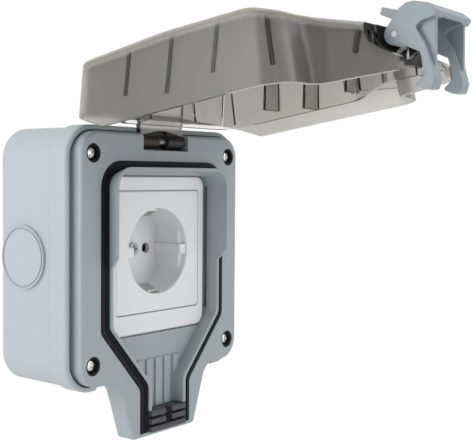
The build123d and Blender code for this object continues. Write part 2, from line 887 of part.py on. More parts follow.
with BuildPart() as latch:
    with BuildSketch(lid_side(0)):
        clip_outline(clip_roof_points, clip_round)
    extrude(amount=clip_half, both=True)
    with BuildSketch(lid_side(0)):
        clip_outline(clip_tab_points, clip_round)
    extrude(amount=clip_tab_half, both=True)
    clip_web_inner = clip_half - (clip_cheek + clip_web) / 2
    for turn in (1, -1):
        with BuildSketch(lid_side(turn * (clip_half - clip_cheek))):
            clip_outline(clip_cheek_points, clip_round)
            with Locations((-clip_pin_depth, clip_pin_z)):
                Circle(clip_boss_r)
        extrude(amount=turn * clip_cheek)
        with BuildSketch(lid_side(turn * clip_web_inner)):
            clip_outline(clip_web_points, clip_round)
        extrude(amount=turn * clip_web)
    with BuildSketch(lid_side(0)):
        with Locations((-clip_pin_depth, clip_pin_z)):
            Circle(clip_pin_d / 2 + running_gap)
    extrude(amount=clip_half, both=True, mode=Mode.SUBTRACT)
latch.part.label = "latch"

# White support plate round the socket, held by two screws from behind
with BuildPart() as support_plate:
    with BuildSketch(front(seat_floor)):
        with Locations((0, (plate_top_z + plate_foot_z) / 2)):
            RectangleRounded(plate_width, plate_top_z - plate_foot_z, plate_corner)
    extrude(amount=plate_thickness)
    fillet(support_plate.faces().sort_by(Axis.Y)[0].edges(), radius=plate_edge_round)
    with BuildSketch(front(seat_floor)):
        with Locations((0, insert_z)):
            opening_width = centre_size + 2 * centre_side_gap
            RectangleRounded(opening_width, centre_size + 2 * centre_gap, centre_corner)
    extrude(amount=plate_thickness, mode=Mode.SUBTRACT)
    with BuildSketch(front(seat_floor)):
        with Locations(*plate_screw_points):
            Circle(plate_screw_d / 2 + thread_gap)
    extrude(amount=plate_thickness - plate_edge_round, mode=Mode.SUBTRACT)
support_plate.part.label = "support_plate"

with BuildPart() as mounting_yoke:
    with BuildSketch(front(yoke_rear)):
        with Locations((0, insert_z)):
            RectangleRounded(yoke_width, yoke_height, plate_corner)
            Circle(yoke_hole_d / 2, mode=Mode.SUBTRACT)
        with Locations(*plate_screw_points):
            Circle(plate_screw_d / 2 + bolt_gap, mode=Mode.SUBTRACT)
    extrude(amount=yoke_thickness)
mounting_yoke.part.label = "mounting_yoke"

with BuildPart() as plate_screws:
    with BuildSketch(front(yoke_rear)):
        with Locations(*plate_screw_points):
            Circle(plate_screw_d / 2)
    extrude(amount=plate_front - plate_edge_round - yoke_rear)
    with BuildSketch(front(yoke_rear)):
        with Locations(*plate_screw_points):
            Circle(plate_screw_head_d / 2)
    extrude(amount=-plate_screw_head)
    with BuildSketch(front(yoke_rear - plate_screw_head)):
        with Locations(*plate_screw_points):
            Rectangle(plate_screw_head_d * screw_slot_share, screw_slot_width)
    extrude(amount=screw_slot_depth, mode=Mode.SUBTRACT)
plate_screws.part.label = "plate_screws"

# White centre plate with the round plug recess, its side flats with guide rails, and the earth clip notches
recess_r = recess_d / 2
with BuildPart() as socket_face:
    with BuildSketch(front(seat_floor)):
        with Locations((0, insert_z)):
            RectangleRounded(centre_size, centre_size, centre_corner)
    extrude(amount=plate_thickness)
    fillet(socket_face.faces().sort_by(Axis.Y)[0].edges(), radius=plate_edge_round)
    with BuildSketch(front(cup_floor_rear)):
        with Locations((0, insert_z)):
            Circle(recess_r + cup_wall)
    extrude(amount=seat_floor - cup_floor_rear)
    with BuildSketch(front(cup_floor_front)):
        with Locations((0, insert_z)):
            Circle(recess_r)
    extrude(amount=recess_depth, mode=Mode.SUBTRACT)
    mouth_edges = socket_face.edges().filter_by(GeomType.CIRCLE).group_by(Axis.Y)[0]
    fillet(mouth_edges, radius=plate_edge_round)
    flat_rise = recess_depth - flat_below_mouth
    for turn in (1, -1):
        with BuildSketch(front(cup_floor_front)):
            with Locations((0, insert_z)):
                Circle(recess_r + cup_wall / 2)
            with Locations((turn * (flat_from_centre + recess_r / 2), insert_z)):
                Rectangle(recess_r, flat_height, mode=Mode.INTERSECT)
        extrude(amount=flat_rise)
        block(
            front(cup_floor_front),
            sorted((turn * (flat_from_centre - rail_proud), turn * recess_r)),
            (insert_z - rail_width / 2, insert_z + rail_width / 2),
            recess_depth - rail_below_mouth,
        )
        with BuildSketch(front(cup_floor_rear)):
            with Locations((turn * pin_pitch / 2, insert_z)):
                Circle(pin_hole_d / 2)
        extrude(amount=cup_floor, mode=Mode.SUBTRACT)
        notch_z = sorted((insert_z + turn * strap_slot_inner, insert_z + turn * (recess_r + 2 * cup_wall)))
        block(
            front(cup_floor_rear),
            (-clip_notch_width / 2, clip_notch_width / 2),
            notch_z,
            cup_floor + flat_rise,
            mode=Mode.SUBTRACT,
        )
    with BuildSketch(front(cup_floor_rear)):
        with Locations((0, insert_z)):
            Circle(centre_screw_d / 2 + bolt_gap)
    extrude(amount=cup_floor, mode=Mode.SUBTRACT)
socket_face.part.label = "socket_face"

with BuildPart() as centre_screw:
    with BuildSketch(front(cup_floor_front - centre_screw_reach)):
        with Locations((0, insert_z)):
            Circle(centre_screw_d / 2)
    extrude(amount=centre_screw_reach)
    with BuildSketch(front(cup_floor_front)):
        with Locations((0, insert_z)):
            Circle(centre_screw_head_d / 2)
    extrude(amount=centre_screw_head)
    with BuildSketch(front(cup_floor_front + centre_screw_head)):
        with Locations((0, insert_z)):
            Rectangle(screw_slot_width, centre_screw_head_d * screw_slot_share)
            Rectangle(centre_screw_head_d * screw_slot_share, screw_slot_width)
    extrude(amount=-screw_slot_depth, mode=Mode.SUBTRACT)
centre_screw.part.label = "centre_screw"

# Earth strap: flat strip under the recess floor, with two sprung arms that stand up into the recess
with BuildPart() as earth_strap:
    block(
        front(strap_rear),
        (-strap_width / 2, strap_width / 2),
        (insert_z - strap_half, insert_z + strap_half),
        strap_thickness,
    )
    for turn in (1, -1):
        strap_curve = [
            (strap_rear, strap_half),
            (cup_floor_front, strap_half),
            (cup_floor_front + strap_reach / 2, strap_half - strap_bow),
            (cup_floor_front + strap_reach, strap_half - strap_bow / 2),
        ]
        inner_curve = [(depth, reach - strap_thickness) for depth, reach in reversed(strap_curve)]
        with BuildSketch(side(0)):
            with BuildLine():
                strap_points = strap_curve + inner_curve
                Polyline(*[(-depth, insert_z + turn * reach) for depth, reach in strap_points], close=True)
            make_face()
        extrude(amount=strap_width / 2, both=True)
    with BuildSketch(front(strap_rear)):
        with Locations((0, insert_z)):
            Circle(centre_screw_d / 2 + bolt_gap)
    extrude(amount=strap_thickness, mode=Mode.SUBTRACT)
earth_strap.part.label = "earth_strap"

# Moulded base behind the recess, with a chamber for each contact
contact_x = pin_pitch / 2
contact_front = strap_rear - base_fit_gap
block_span = (insert_z - contact_block_height / 2, insert_z + contact_block_height / 2)


def contact(turn):
    """Brass contact: sleeve for a plug pin, with a terminal block and its screw hole."""
    with BuildPart() as form:
        with BuildSketch(front(contact_rear)) as sleeve:
            with Locations((turn * contact_x, insert_z)):
                Circle(contact_d / 2)
        extrude(sleeve.sketch, amount=contact_front - contact_rear)
        block(
            front(contact_rear),
            sorted((turn * contact_x, turn * contact_block_reach)),
            block_span,
            contact_block_depth,
        )
        with BuildSketch(front(contact_rear + contact_floor)) as bore:
            with Locations((turn * contact_x, insert_z)):
                Circle(contact_bore_d / 2)
        extrude(bore.sketch, amount=contact_front - contact_rear, mode=Mode.SUBTRACT)
        with BuildSketch(front(contact_rear)) as screw_hole:
            with Locations((turn * terminal_screw_x, insert_z)):
                Circle(terminal_screw_d / 2 + thread_gap)
        extrude(screw_hole.sketch, amount=contact_block_depth, mode=Mode.SUBTRACT)
    return form


with BuildPart() as socket_base:
    with BuildSketch(front(base_rear)):
        with Locations((0, insert_z)):
            Circle(base_d / 2)
    extrude(amount=yoke_rear - base_rear)
    with BuildSketch(front(strap_rear)):
        with Locations((0, insert_z)):
            Circle(yoke_hole_d / 2)
    extrude(amount=yoke_rear - strap_rear, mode=Mode.SUBTRACT)
    for turn in (1, -1):
        with BuildSketch(front(contact_rear)):
            with Locations((turn * contact_x, insert_z)):
                Circle(contact_d / 2 + contact_gap)
            with Locations((turn * (contact_x + contact_block_reach + contact_gap) / 2, insert_z)):
                chamber_height = contact_block_height + 2 * contact_gap
                Rectangle(contact_block_reach + contact_gap - contact_x, chamber_height)
        extrude(amount=strap_rear - contact_rear, mode=Mode.SUBTRACT)
        with BuildSketch(front(base_rear)):
            with Locations((turn * terminal_screw_x, insert_z)):
                Circle(terminal_screw_d / 2 + bolt_gap)
        extrude(amount=contact_rear - base_rear, mode=Mode.SUBTRACT)
    with BuildSketch(front(strap_rear)):
        with Locations((0, insert_z)):
            Circle(centre_screw_d / 2 + thread_gap)
    extrude(amount=cup_floor_front - centre_screw_reach - strap_rear, mode=Mode.SUBTRACT)
socket_base.part.label = "socket_base"

line_contact = contact(-1)
line_contact.part.label = "line_contact"
neutral_contact = contact(1)
neutral_contact.part.label = "neutral_contact"

with BuildPart() as terminal_screws:
    terminal_points = [(turn * terminal_screw_x, insert_z) for turn in (-1, 1)]
    with BuildSketch(front(base_rear)):
        with Locations(*terminal_points):
            Circle(terminal_screw_d / 2)
    extrude(amount=contact_rear + contact_block_depth - base_rear)
    with BuildSketch(front(base_rear)):
        with Locations(*terminal_points):
            Circle(terminal_head_d / 2)
    extrude(amount=-terminal_head)
    with BuildSketch(front(base_rear - terminal_head)):
        with Locations(*terminal_points):
            Rectangle(terminal_head_d * screw_slot_share, screw_slot_width)
    extrude(amount=screw_slot_depth, mode=Mode.SUBTRACT)
terminal_screws.part.label = "terminal_screws"

pieces = [
    back_box,
    box_seal,
    front_frame,
    lid_gasket,
    cable_seal,
    screw_seals,
    cover_screws,
    hinge_pin,
    lid_cover,
    latch_pin,
    latch,
    support_plate,
    mounting_yoke,
    plate_screws,
    socket_face,
    centre_screw,
    earth_strap,
    socket_base,
    line_contact,
    neutral_contact,
    terminal_screws,
]
for piece in pieces:
    export_step(piece.part, f"parts/{piece.part.label}.step")
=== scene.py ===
"""Looks of an outdoor weatherproof socket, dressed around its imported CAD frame."""

import logging
import math
from dataclasses import dataclass, replace
from enum import Enum, IntEnum
from typing import Any, Optional, Sequence

import bmesh
import bpy
from mathutils import Matrix, Vector
from mathutils.bvhtree import BVHTree


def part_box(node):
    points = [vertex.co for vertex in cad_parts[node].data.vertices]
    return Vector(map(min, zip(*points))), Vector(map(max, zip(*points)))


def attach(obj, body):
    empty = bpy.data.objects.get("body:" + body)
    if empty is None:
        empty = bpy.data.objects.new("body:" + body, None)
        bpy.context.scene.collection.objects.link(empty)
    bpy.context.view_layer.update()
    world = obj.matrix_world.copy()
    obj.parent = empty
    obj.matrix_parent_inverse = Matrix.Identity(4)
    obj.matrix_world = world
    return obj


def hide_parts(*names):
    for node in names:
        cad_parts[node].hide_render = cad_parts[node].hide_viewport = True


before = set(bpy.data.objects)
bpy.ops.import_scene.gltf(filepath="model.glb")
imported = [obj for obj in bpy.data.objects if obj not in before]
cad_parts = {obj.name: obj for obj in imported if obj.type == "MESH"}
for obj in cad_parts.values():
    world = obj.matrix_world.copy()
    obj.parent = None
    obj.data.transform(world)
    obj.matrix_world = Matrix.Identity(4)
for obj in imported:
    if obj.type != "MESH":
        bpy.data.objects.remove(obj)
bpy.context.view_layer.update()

LOG = logging.getLogger("weatherproof_socket")
MM = 0.001

# Edges that bend by more than this stay sharp, on copies of CAD nodes and on pieces made here
COPY_CREASE_DEG = 32.0
MADE_CREASE_DEG = 35.0
# Corners nearer than this are one, in copies of CAD nodes and in turned profiles
COPY_WELD_MM = 0.004
TURNED_WELD_MM = 0.002

Socket = bpy.types.NodeSocket
Triple = tuple[float, float, float]
Plane = tuple[Vector, float]


class Body(Enum):
    """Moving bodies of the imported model."""

    ENCLOSURE = "enclosure"
    LID = "lid"
    CLIP = "clip"


# Colours and nodes
def linear(hex_colour: str) -> tuple[float, float, float, float]:
    """Turns an sRGB hex colour into linear light.

    Args:
        hex_colour: Six hex digits after a hash sign.

    Returns:
        Linear red, green and blue, with an alpha of one.
    """
    channels = [int(hex_colour[i : i + 2], 16) / 255 for i in (1, 3, 5)]
    light = [c / 12.92 if c <= 0.04045 else ((c + 0.055) / 1.055) ** 2.4 for c in channels]
    return (light[0], light[1], light[2], 1.0)


WHITE = linear("#FFFFFF")


def add_node(
    tree: bpy.types.NodeTree,
    kind: str,
    settings: Optional[dict[str, Any]] = None,
    inputs: Optional[dict[Any, Any]] = None,
) -> bpy.types.Node:
    """Adds a node with its settings, socket values and links.

    Args:
        tree: Node tree that takes the node.
        kind: Blender's name of the node type.
        settings: Attributes of the node.
        inputs: Values or output sockets, by input name, or by number where a node repeats its names.

    Returns:
        The new node.
    """
    node = tree.nodes.new(kind)
    for name, value in (settings or {}).items():
        setattr(node, name, value)
    for key, value in (inputs or {}).items():
        if isinstance(value, Socket):
            tree.links.new(value, node.inputs[key])
        else:
            node.inputs[key].default_value = value
    return node


def new_material(name: str) -> tuple[bpy.types.Material, bpy.types.NodeTree]:
    """Starts an empty node material.

    Args:
        name: Name of the material.

    Returns:
        The material and its node tree.
    """
    material = bpy.data.materials.new(name)
    material.use_nodes = True
    material.node_tree.nodes.clear()
    return material, material.node_tree


# Finishes
def uneven_gloss(
    tree: bpy.types.NodeTree, place: Socket, mark_mm: float, roughness: float, spread: float
) -> Socket:
    """Adds a roughness that varies a little over fine marks of the surface.

    Args:
        tree: Node tree that takes the nodes.
        place: Socket of the Object coordinates.
        mark_mm: Size of the marks.
        roughness: Middle value.
        spread: Share by which it varies either way.

    Returns:
        The roughness's socket.
    """
    marks = add_node(
        tree,
        "ShaderNodeTexNoise",
        inputs={"Vector": place, "Scale": 1 / (mark_mm * MM)},
    )
    gloss = add_node(
        tree,
        "ShaderNodeMapRange",
        inputs={
            "Value": marks.outputs["Fac"],
            "To Min": roughness * (1 - spread),
            "To Max": roughness * (1 + spread),
        },
    )
    return gloss.outputs["Result"]


@dataclass(frozen=True)
class MouldedPlastic:
    """Moulded plastic or rubber: a soft gloss over a fine spark-eroded grain, with faint flow shades."""

    name: str
    light: str
    dark: str
    roughness: float
    roughness_spread: float = 0.05
    grain_mm: float = 0.5
    grain_depth_mm: float = 0.015
    grain_detail: float = 2.0
    grain_roughness: float = 0.6
    grain_strength: float = 0.5
    shade_mm: float = 40.0
    shade_detail: float = 3.0
    edge_mm: float = 0.4
    edge_samples: int = 6
    ior: float = 1.5

    def material(self) -> bpy.types.Material:
        """Builds the node material of this plastic.

        Returns:
            The material.
        """
        material, tree = new_material(self.name)
        place = add_node(tree, "ShaderNodeTexCoord").outputs["Object"]
        shade = add_node(
            tree,
            "ShaderNodeTexNoise",
            inputs={"Vector": place, "Scale": 1 / (self.shade_mm * MM), "Detail": self.shade_detail},
        )
        grain = add_node(
            tree,
            "ShaderNodeTexNoise",
            inputs={
                "Vector": place,
                "Scale": 1 / (self.grain_mm * MM),
                "Detail": self.grain_detail,
                "Roughness": self.grain_roughness,
            },
        )
        colour = add_node(
            tree,
            "ShaderNodeMix",
            settings={"data_type": "RGBA"},
            inputs={0: shade.outputs["Fac"], 6: linear(self.dark), 7: linear(self.light)},
        )
        gloss = add_node(
            tree,
            "ShaderNodeMapRange",
            inputs={
                "Value": grain.outputs["Fac"],
                "To Min": self.roughness - self.roughness_spread,
                "To Max": self.roughness + self.roughness_spread,
            },
        )
        soft_edge = add_node(
            tree,
            "ShaderNodeBevel",
            settings={"samples": self.edge_samples},
            inputs={"Radius": self.edge_mm * MM},
        )
        bump = add_node(
            tree,
            "ShaderNodeBump",
            inputs={
                "Strength": self.grain_strength,
                "Distance": self.grain_depth_mm * MM,
                "Height": grain.outputs["Fac"],
                "Normal": soft_edge.outputs["Normal"],
            },
        )
        shader = add_node(
            tree,
            "ShaderNodeBsdfPrincipled",
            inputs={
                "Base Color": colour.outputs[2],
                "Roughness": gloss.outputs["Result"],
                "IOR": self.ior,
                "Normal": bump.outputs["Normal"],
            },
        )
        add_node(tree, "ShaderNodeOutputMaterial", inputs={"Surface": shader.outputs["BSDF"]})
        return material


@dataclass(frozen=True)
class SmokedPlastic:
    """Smoked polycarbonate: clear grey-brown moulding with a frosted skin, darker where it is thick."""

    name: str
    density: float
    roughness: float
    skin: str = "#FFFFFF"
    tint: str = "#A39C92"
    transmission: float = 1.0
    roughness_spread: float = 0.15
    grain_mm: float = 0.6
    ior: float = 1.45

    # Painted highlight: a band along the crown's edge, where the wall is painted paler and made less clear
    edge_highlight_skin: str = "#ADA89D"
    edge_highlight_transmission: float = 0.45
    edge_from_mm: float = 1.4
    edge_to_mm: float = 4.8

    def clearness(self, tree: bpy.types.NodeTree, place: Socket, crown: Sequence[Plane]) -> Socket:
        """Adds a factor that grows from nought at the crown's edge, where the highlight is painted, to one
        where the wall is clear.

        Args:
            tree: Node tree that takes the nodes.
            place: Socket of the Object coordinates.
            crown: Inward normals and offsets of the crown's slopes.

        Returns:
            The factor's socket.
        """
        nearest: Optional[Socket] = None
        for inward, offset in crown:
            along = add_node(
                tree,
                "ShaderNodeVectorMath",
                settings={"operation": "DOT_PRODUCT"},
                inputs={0: place, 1: inward},
            )
            depth = add_node(tree, "ShaderNodeMath", inputs={0: along.outputs["Value"], 1: offset})
            if nearest is not None:
                depth = add_node(
                    tree,
                    "ShaderNodeMath",
                    settings={"operation": "MINIMUM"},
                    inputs={0: nearest, 1: depth.outputs[0]},
                )
            nearest = depth.outputs[0]
        fade = add_node(
            tree,
            "ShaderNodeMapRange",
            settings={"interpolation_type": "SMOOTHSTEP"},
            inputs={"Value": nearest, "From Min": self.edge_from_mm * MM, "From Max": self.edge_to_mm * MM},
        )
        return fade.outputs["Result"]

    def material(self, crown: Sequence[Plane] = ()) -> bpy.types.Material:
        """Builds the node material of this plastic.

        Args:
            crown: Inward normals and offsets of a crown whose edge gets a painted highlight, if there is
                one.

        Returns:
            The material.
        """
        material, tree = new_material(self.name)
        place = add_node(tree, "ShaderNodeTexCoord").outputs["Object"]
        skin: Any = linear(self.skin)
        clear: Any = self.transmission
        # Painted highlight: near the crown's edge the skin turns paler and the wall less clear
        if crown:
            factor = self.clearness(tree, place, crown)
            skin = add_node(
                tree,
                "ShaderNodeMix",
                settings={"data_type": "RGBA"},
                inputs={0: factor, 6: linear(self.edge_highlight_skin), 7: skin},
            ).outputs[2]
            clear = add_node(
                tree,
                "ShaderNodeMapRange",
                inputs={"Value": factor, "To Min": self.edge_highlight_transmission, "To Max": clear},
            ).outputs["Result"]
        gloss = uneven_gloss(tree, place, self.grain_mm, self.roughness, self.roughness_spread)
        shader = add_node(
            tree,
            "ShaderNodeBsdfPrincipled",
            inputs={
                "Base Color": skin,
                "Roughness": gloss,
                "IOR": self.ior,
                "Transmission Weight": clear,
            },
        )
        smoke = add_node(
            tree,
            "ShaderNodeVolumeAbsorption",
            inputs={"Color": linear(self.tint), "Density": self.density},
        )
        add_node(
            tree,
            "ShaderNodeOutputMaterial",
            inputs={"Surface": shader.outputs["BSDF"], "Volume": smoke.outputs["Volume"]},
        )
        return material


@dataclass(frozen=True)
class BareMetal:
    """Bare metal: bright, with fine tool marks that spread its highlights."""

    name: str
    colour: str
    roughness: float
    roughness_spread: float = 0.3
    mark_mm: float = 0.4

    def material(self) -> bpy.types.Material:
        """Builds the node material of this metal.

        Returns:
            The material.
        """
        material, tree = new_material(self.name)
        place = add_node(tree, "ShaderNodeTexCoord").outputs["Object"]
        gloss = uneven_gloss(tree, place, self.mark_mm, self.roughness, self.roughness_spread)
        shader = add_node(
            tree,
            "ShaderNodeBsdfPrincipled",
            inputs={"Base Color": linear(self.colour), "Metallic": 1.0, "Roughness": gloss},
        )
        add_node(tree, "ShaderNodeOutputMaterial", inputs={"Surface": shader.outputs["BSDF"]})
        return material


# ABS of the wall box: a light grey satin skin with broad, soft highlights
BOX_PLASTIC = MouldedPlastic("box_abs_grey", light="#B0B9BD", dark="#ABB4B8", roughness=0.5)

# ABS of the front frame: a shade deeper than the box and slightly glossier
FRAME_PLASTIC = MouldedPlastic("frame_abs_grey", light="#A3ACB1", dark="#9EA7AC", roughness=0.46)

# Acetal of the clip: grey-blue, smooth and a little waxy
CLIP_PLASTIC = MouldedPlastic(
    "clip_acetal_grey", light="#8F9BA1", dark="#8A969C", roughness=0.4, grain_depth_mm=0.012, shade_mm=25.0
)

# Urea of the socket face and its plate: white, the glossiest moulding, almost without grain
WHITE_PLASTIC = MouldedPlastic(
    "socket_urea_white",
    light="#EBECEE",
    dark="#E8E9EB",
    roughness=0.32,
    roughness_spread=0.03,
    grain_mm=0.8,
    grain_depth_mm=0.002,
)

# Phenolic of the hidden base: dark, dull and a little coarse
BASE_PLASTIC = MouldedPlastic(
    "base_phenolic_dark",
    light="#4A4B4D",
    dark="#444547",
    roughness=0.5,
    grain_mm=0.6,
    grain_depth_mm=0.02,
    shade_mm=20.0,
)

# EPDM rubber of the seals: nearly matt black that catches only a faint sheen
SEAL_RUBBER = MouldedPlastic(
    "seal_epdm_black",
    light="#16191E",
    dark="#111418",
    roughness=0.62,
    roughness_spread=0.06,
    grain_mm=0.4,
    grain_depth_mm=0.02,
    shade_mm=12.0,
    edge_mm=0.3,
    ior=1.3,
)

# EPDM rubber of the cable seal: dark grey and about as matt
CABLE_RUBBER = replace(
    SEAL_RUBBER, name="cable_seal_epdm_grey", light="#4C4C51", dark="#45454A", roughness=0.6, ior=1.5
)

# Polycarbonate of the lid's outside: satin, so that what is behind it blurs into grey-brown, with a painted
# highlight along the crown's edge
LID_OUTSIDE = SmokedPlastic("lid_polycarbonate_satin", density=150.0, roughness=0.24)

# Polycarbonate of the outer wall's inside and of the crown: milky and pale
LID_LINING = SmokedPlastic(
    "lid_polycarbonate_milky", density=180.0, roughness=0.3, skin="#F2EEE8", transmission=0.62
)

# Polycarbonate of the inner walls: polished clear, with sharp glints
LID_POLISHED = SmokedPlastic("lid_polycarbonate_polished", density=90.0, roughness=0.06)

# Polycarbonate of the crown's rounded edge: painted highlight, a pale cream skin that lets less light
# through, in place of the light that the rounding gathers along its length
LID_ROUNDING_HIGHLIGHT = SmokedPlastic(
    "lid_polycarbonate_rounding", density=60.0, roughness=0.3, skin="#B4AFA4", transmission=0.25
)

# Polycarbonate of the webs: painted shade, a far denser smoke than elsewhere in the lid, so they look as
# dark as light crossing them lengthways makes them
LID_WEB_SHADE = SmokedPlastic("lid_polycarbonate_web", density=500.0, roughness=0.06)

# Polycarbonate where it is so thick that hardly any light comes back: nearly black; the rib lines wear it
# too, as painted shade
LID_THICK_AND_RIB_SHADE = MouldedPlastic(
    "lid_polycarbonate_thick",
    light="#24221F",
    dark="#1E1C1A",
    roughness=0.5,
    roughness_spread=0.04,
    grain_mm=0.6,
    grain_depth_mm=0.004,
    shade_mm=12.0,
)

# Steel of the screws and the hidden plates: plated, bright, with broad glints
STEEL = BareMetal("screw_steel_bright", "#E4E3DF", roughness=0.34)

# Steel of the pins and of the recess screw: greyer and duller
PIN_STEEL = BareMetal("pin_steel_dull", "#A4A9AD", roughness=0.5)

# Nickel-plated spring metal of the earth contacts: a little darker than the screws, with sharper glints
SPRING_METAL = BareMetal("earth_spring_nickel", "#D2D1CE", roughness=0.28)

# Brass of the hidden contacts: warm yellow
BRASS = BareMetal("contact_brass", "#C9A45A", roughness=0.3)


# Meshes and pieces
def add_object(name: str, data: Any) -> bpy.types.Object:
    """Puts a new object into the scene.

    Args:
        name: Name of the object.
        data: Its mesh, camera or lamp.

    Returns:
        The new object.
    """
    obj = bpy.data.objects.new(name, data)
    bpy.context.scene.collection.objects.link(obj)
    return obj


def write_back(work: bmesh.types.BMesh, mesh: bpy.types.Mesh) -> None:
    """Writes edited geometry into a mesh and frees the working copy."""
    work.to_mesh(mesh)
    work.free()


def search_tree(mesh: bpy.types.Mesh, faces: Sequence[bpy.types.MeshPolygon]) -> BVHTree:
    """Makes a search tree of a mesh's faces, or of some of them."""
    return BVHTree.FromPolygons([v.co for v in mesh.vertices], [list(f.vertices) for f in faces])


def in_order(mesh: bpy.types.Mesh) -> bpy.types.Mesh:
    """Rebuilds a mesh with its corners and faces sorted by place, so that each run gives the same one.

    Args:
        mesh: Mesh whose corners and faces come in any order.

    Returns:
        A new mesh of the same shape, without materials.
    """
    places = [tuple(v.co) for v in mesh.vertices]
    order = sorted(range(len(places)), key=lambda corner: places[corner])
    rank = {old: new for new, old in enumerate(order)}
    faces = []
    for face in mesh.polygons:
        corners = [rank[v] for v in face.vertices]
        first = corners.index(min(corners))
        faces.append(corners[first:] + corners[:first])
    ordered = bpy.data.meshes.new(mesh.name)
    ordered.from_pydata(sorted(places), [], sorted(faces))
    return ordered


def flat_regions(mesh: bpy.types.Mesh, flat_deg: float = 0.3) -> tuple[list[int], list[float]]:
    """Groups neighbouring faces that lie in one plane.

    Args:
        mesh: Mesh to read.
        flat_deg: Angle below which two faces count as one plane.

    Returns:
        The group of each face, and the area of each group.
    """
    faces = mesh.polygons
    by_edge: dict[tuple[int, int], list[int]] = {}
    for face in faces:
        for key in face.edge_keys:
            by_edge.setdefault(key, []).append(face.index)
    limit = math.cos(math.radians(flat_deg))
    group = [-1] * len(faces)
    areas: list[float] = []
    for seed in range(len(faces)):
        if group[seed] >= 0:
            continue
        group[seed] = len(areas)
        area, waiting = 0.0, [seed]
        while waiting:
            face = faces[waiting.pop()]
            area += face.area
            for key in face.edge_keys:
                for other in by_edge[key]:
                    if group[other] < 0 and faces[other].normal.dot(faces[seed].normal) > limit:
                        group[other] = len(areas)
                        waiting.append(other)
        areas.append(area)
    return group, areas


def lead_by_flats(mesh: bpy.types.Mesh, crease_deg: float) -> None:
    """Sets smooth normals that large flat faces lead, so that roundings blend into them.

    Args:
        mesh: Mesh to shade.
        crease_deg: Angle above which an edge stays sharp.
    """
    group, areas = flat_regions(mesh)
    around: list[list[int]] = [[] for _ in mesh.vertices]
    for face in mesh.polygons:
        for corner in face.vertices:
            around[corner].append(face.index)
    limit = math.cos(math.radians(crease_deg))
    normals: list[Vector] = []
    for face in mesh.polygons:
        for corner in face.vertices:
            total, counted = Vector(), set()
            for other in around[corner]:
                facing = mesh.polygons[other].normal
                if group[other] not in counted and facing.dot(face.normal) > limit:
                    counted.add(group[other])
                    total += facing * areas[group[other]]
            normals.append(total.normalized() if total.length > 0 else face.normal.copy())
    mesh.polygons.foreach_set("use_smooth", [True] * len(mesh.polygons))
    mesh.normals_split_custom_set(normals)


def dress_node(node: str, material: bpy.types.Material) -> None:
    """Gives a CAD node's own object a material.

    Args:
        node: Name of the CAD node.
        material: Material that fills its slots.
    """
    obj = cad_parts[node]
    obj.data.materials.clear()
    obj.data.materials.append(material)
    LOG.info("%s keeps its own shape", node)


def stand_for(piece: bpy.types.Object, node: str, body: Body) -> None:
    """Lets a plain mesh piece ride with a body and stand for a CAD node.

    Args:
        piece: Piece to hand over.
        node: Name of the CAD node.
        body: Body that the piece moves with.
    """
    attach(piece, body.value)
    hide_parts(node)
    LOG.info("%s stands for %s: %d faces", piece.name, node, len(piece.data.polygons))


def smooth_copy(
    node: str,
    name: str,
    material: bpy.types.Material,
    body: Body,
) -> bpy.types.Object:
    """Makes a welded, smoothly shaded copy of a CAD node, and lets it stand for the node.

    Args:
        node: Name of the CAD node.
        name: Name of the new piece.
        material: Material of the piece.
        body: Body that the piece moves with.

    Returns:
        The new piece.
    """
    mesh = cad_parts[node].data.copy()
    mesh.name = name
    work = bmesh.new()
    work.from_mesh(mesh)
    bmesh.ops.remove_doubles(work, verts=work.verts, dist=COPY_WELD_MM * MM)
    write_back(work, mesh)
    mesh.materials.clear()
    mesh.materials.append(material)
    lead_by_flats(mesh, COPY_CREASE_DEG)
    piece = add_object(name, mesh)
    stand_for(piece, node, body)
    return piece


# Geometry node trees
def new_geometry_tree(name: str, inputs: dict[str, str]) -> tuple[bpy.types.NodeTree, Any]:
    """Starts a geometry node tree with named inputs and one output.

    Args:
        name: Name of the tree.
        inputs: Socket type of each input, by the input's name.

    Returns:
        The tree, and the sockets that give its inputs.
    """
    tree = bpy.data.node_groups.new(name, "GeometryNodeTree")
    for label, kind in inputs.items():
        tree.interface.new_socket(name=label, in_out="INPUT", socket_type=kind)
    tree.interface.new_socket(name="Geometry", in_out="OUTPUT", socket_type="NodeSocketGeometry")
    return tree, add_node(tree, "NodeGroupInput").outputs


def end_geometry_tree(tree: bpy.types.NodeTree, result: Socket, finish: Socket) -> None:
    """Ends a geometry node tree with plain geometry in one finish.

    Args:
        tree: Tree to end.
        result: Geometry, with or without instances.
        finish: Socket that gives the material.
    """
    plain = add_node(tree, "GeometryNodeRealizeInstances", inputs={"Geometry": result})
    finished = add_node(
        tree,
        "GeometryNodeSetMaterial",
        inputs={"Geometry": plain.outputs["Geometry"], "Material": finish},
    )
    add_node(tree, "NodeGroupOutput", inputs={"Geometry": finished.outputs["Geometry"]})


def run_geometry_tree(piece: bpy.types.Object, tree: bpy.types.NodeTree, values: dict[str, Any]) -> None:
    """Runs a geometry node tree on a piece and keeps the result as its plain mesh.

    Args:
        piece: Object that takes the result.
        tree: Tree to run.
        values: Values of the tree's inputs, by name.
    """
    modifier = piece.modifiers.new(tree.name, "NODES")
    modifier.node_group = tree
    for item in tree.interface.items_tree:
        if item.in_out == "INPUT" and item.name in values:
            modifier[item.identifier] = values[item.name]
    bpy.context.view_layer.update()
    graph = bpy.context.evaluated_depsgraph_get()
    mesh = bpy.data.meshes.new_from_object(piece.evaluated_get(graph), depsgraph=graph)
    mesh.name = piece.name
    piece.modifiers.clear()
    piece.data = mesh


# Studio
@dataclass(frozen=True)
class Lamp:
    """Soft square lamp: where it stands, the point that it faces, its side and its power."""

    name: str
    place_m: Triple
    aim_m: Triple
    side_m: float
    power_w: float

    def add(self) -> None:
        """Adds the lamp to the scene."""
        data = bpy.data.lights.new(self.name, "AREA")
        data.size = self.side_m
        data.energy = self.power_w
        lamp = add_object(self.name, data)
        place = Vector(self.place_m)
        lamp.location = place
        lamp.rotation_euler = (Vector(self.aim_m) - place).to_track_quat("-Z", "Y").to_euler()


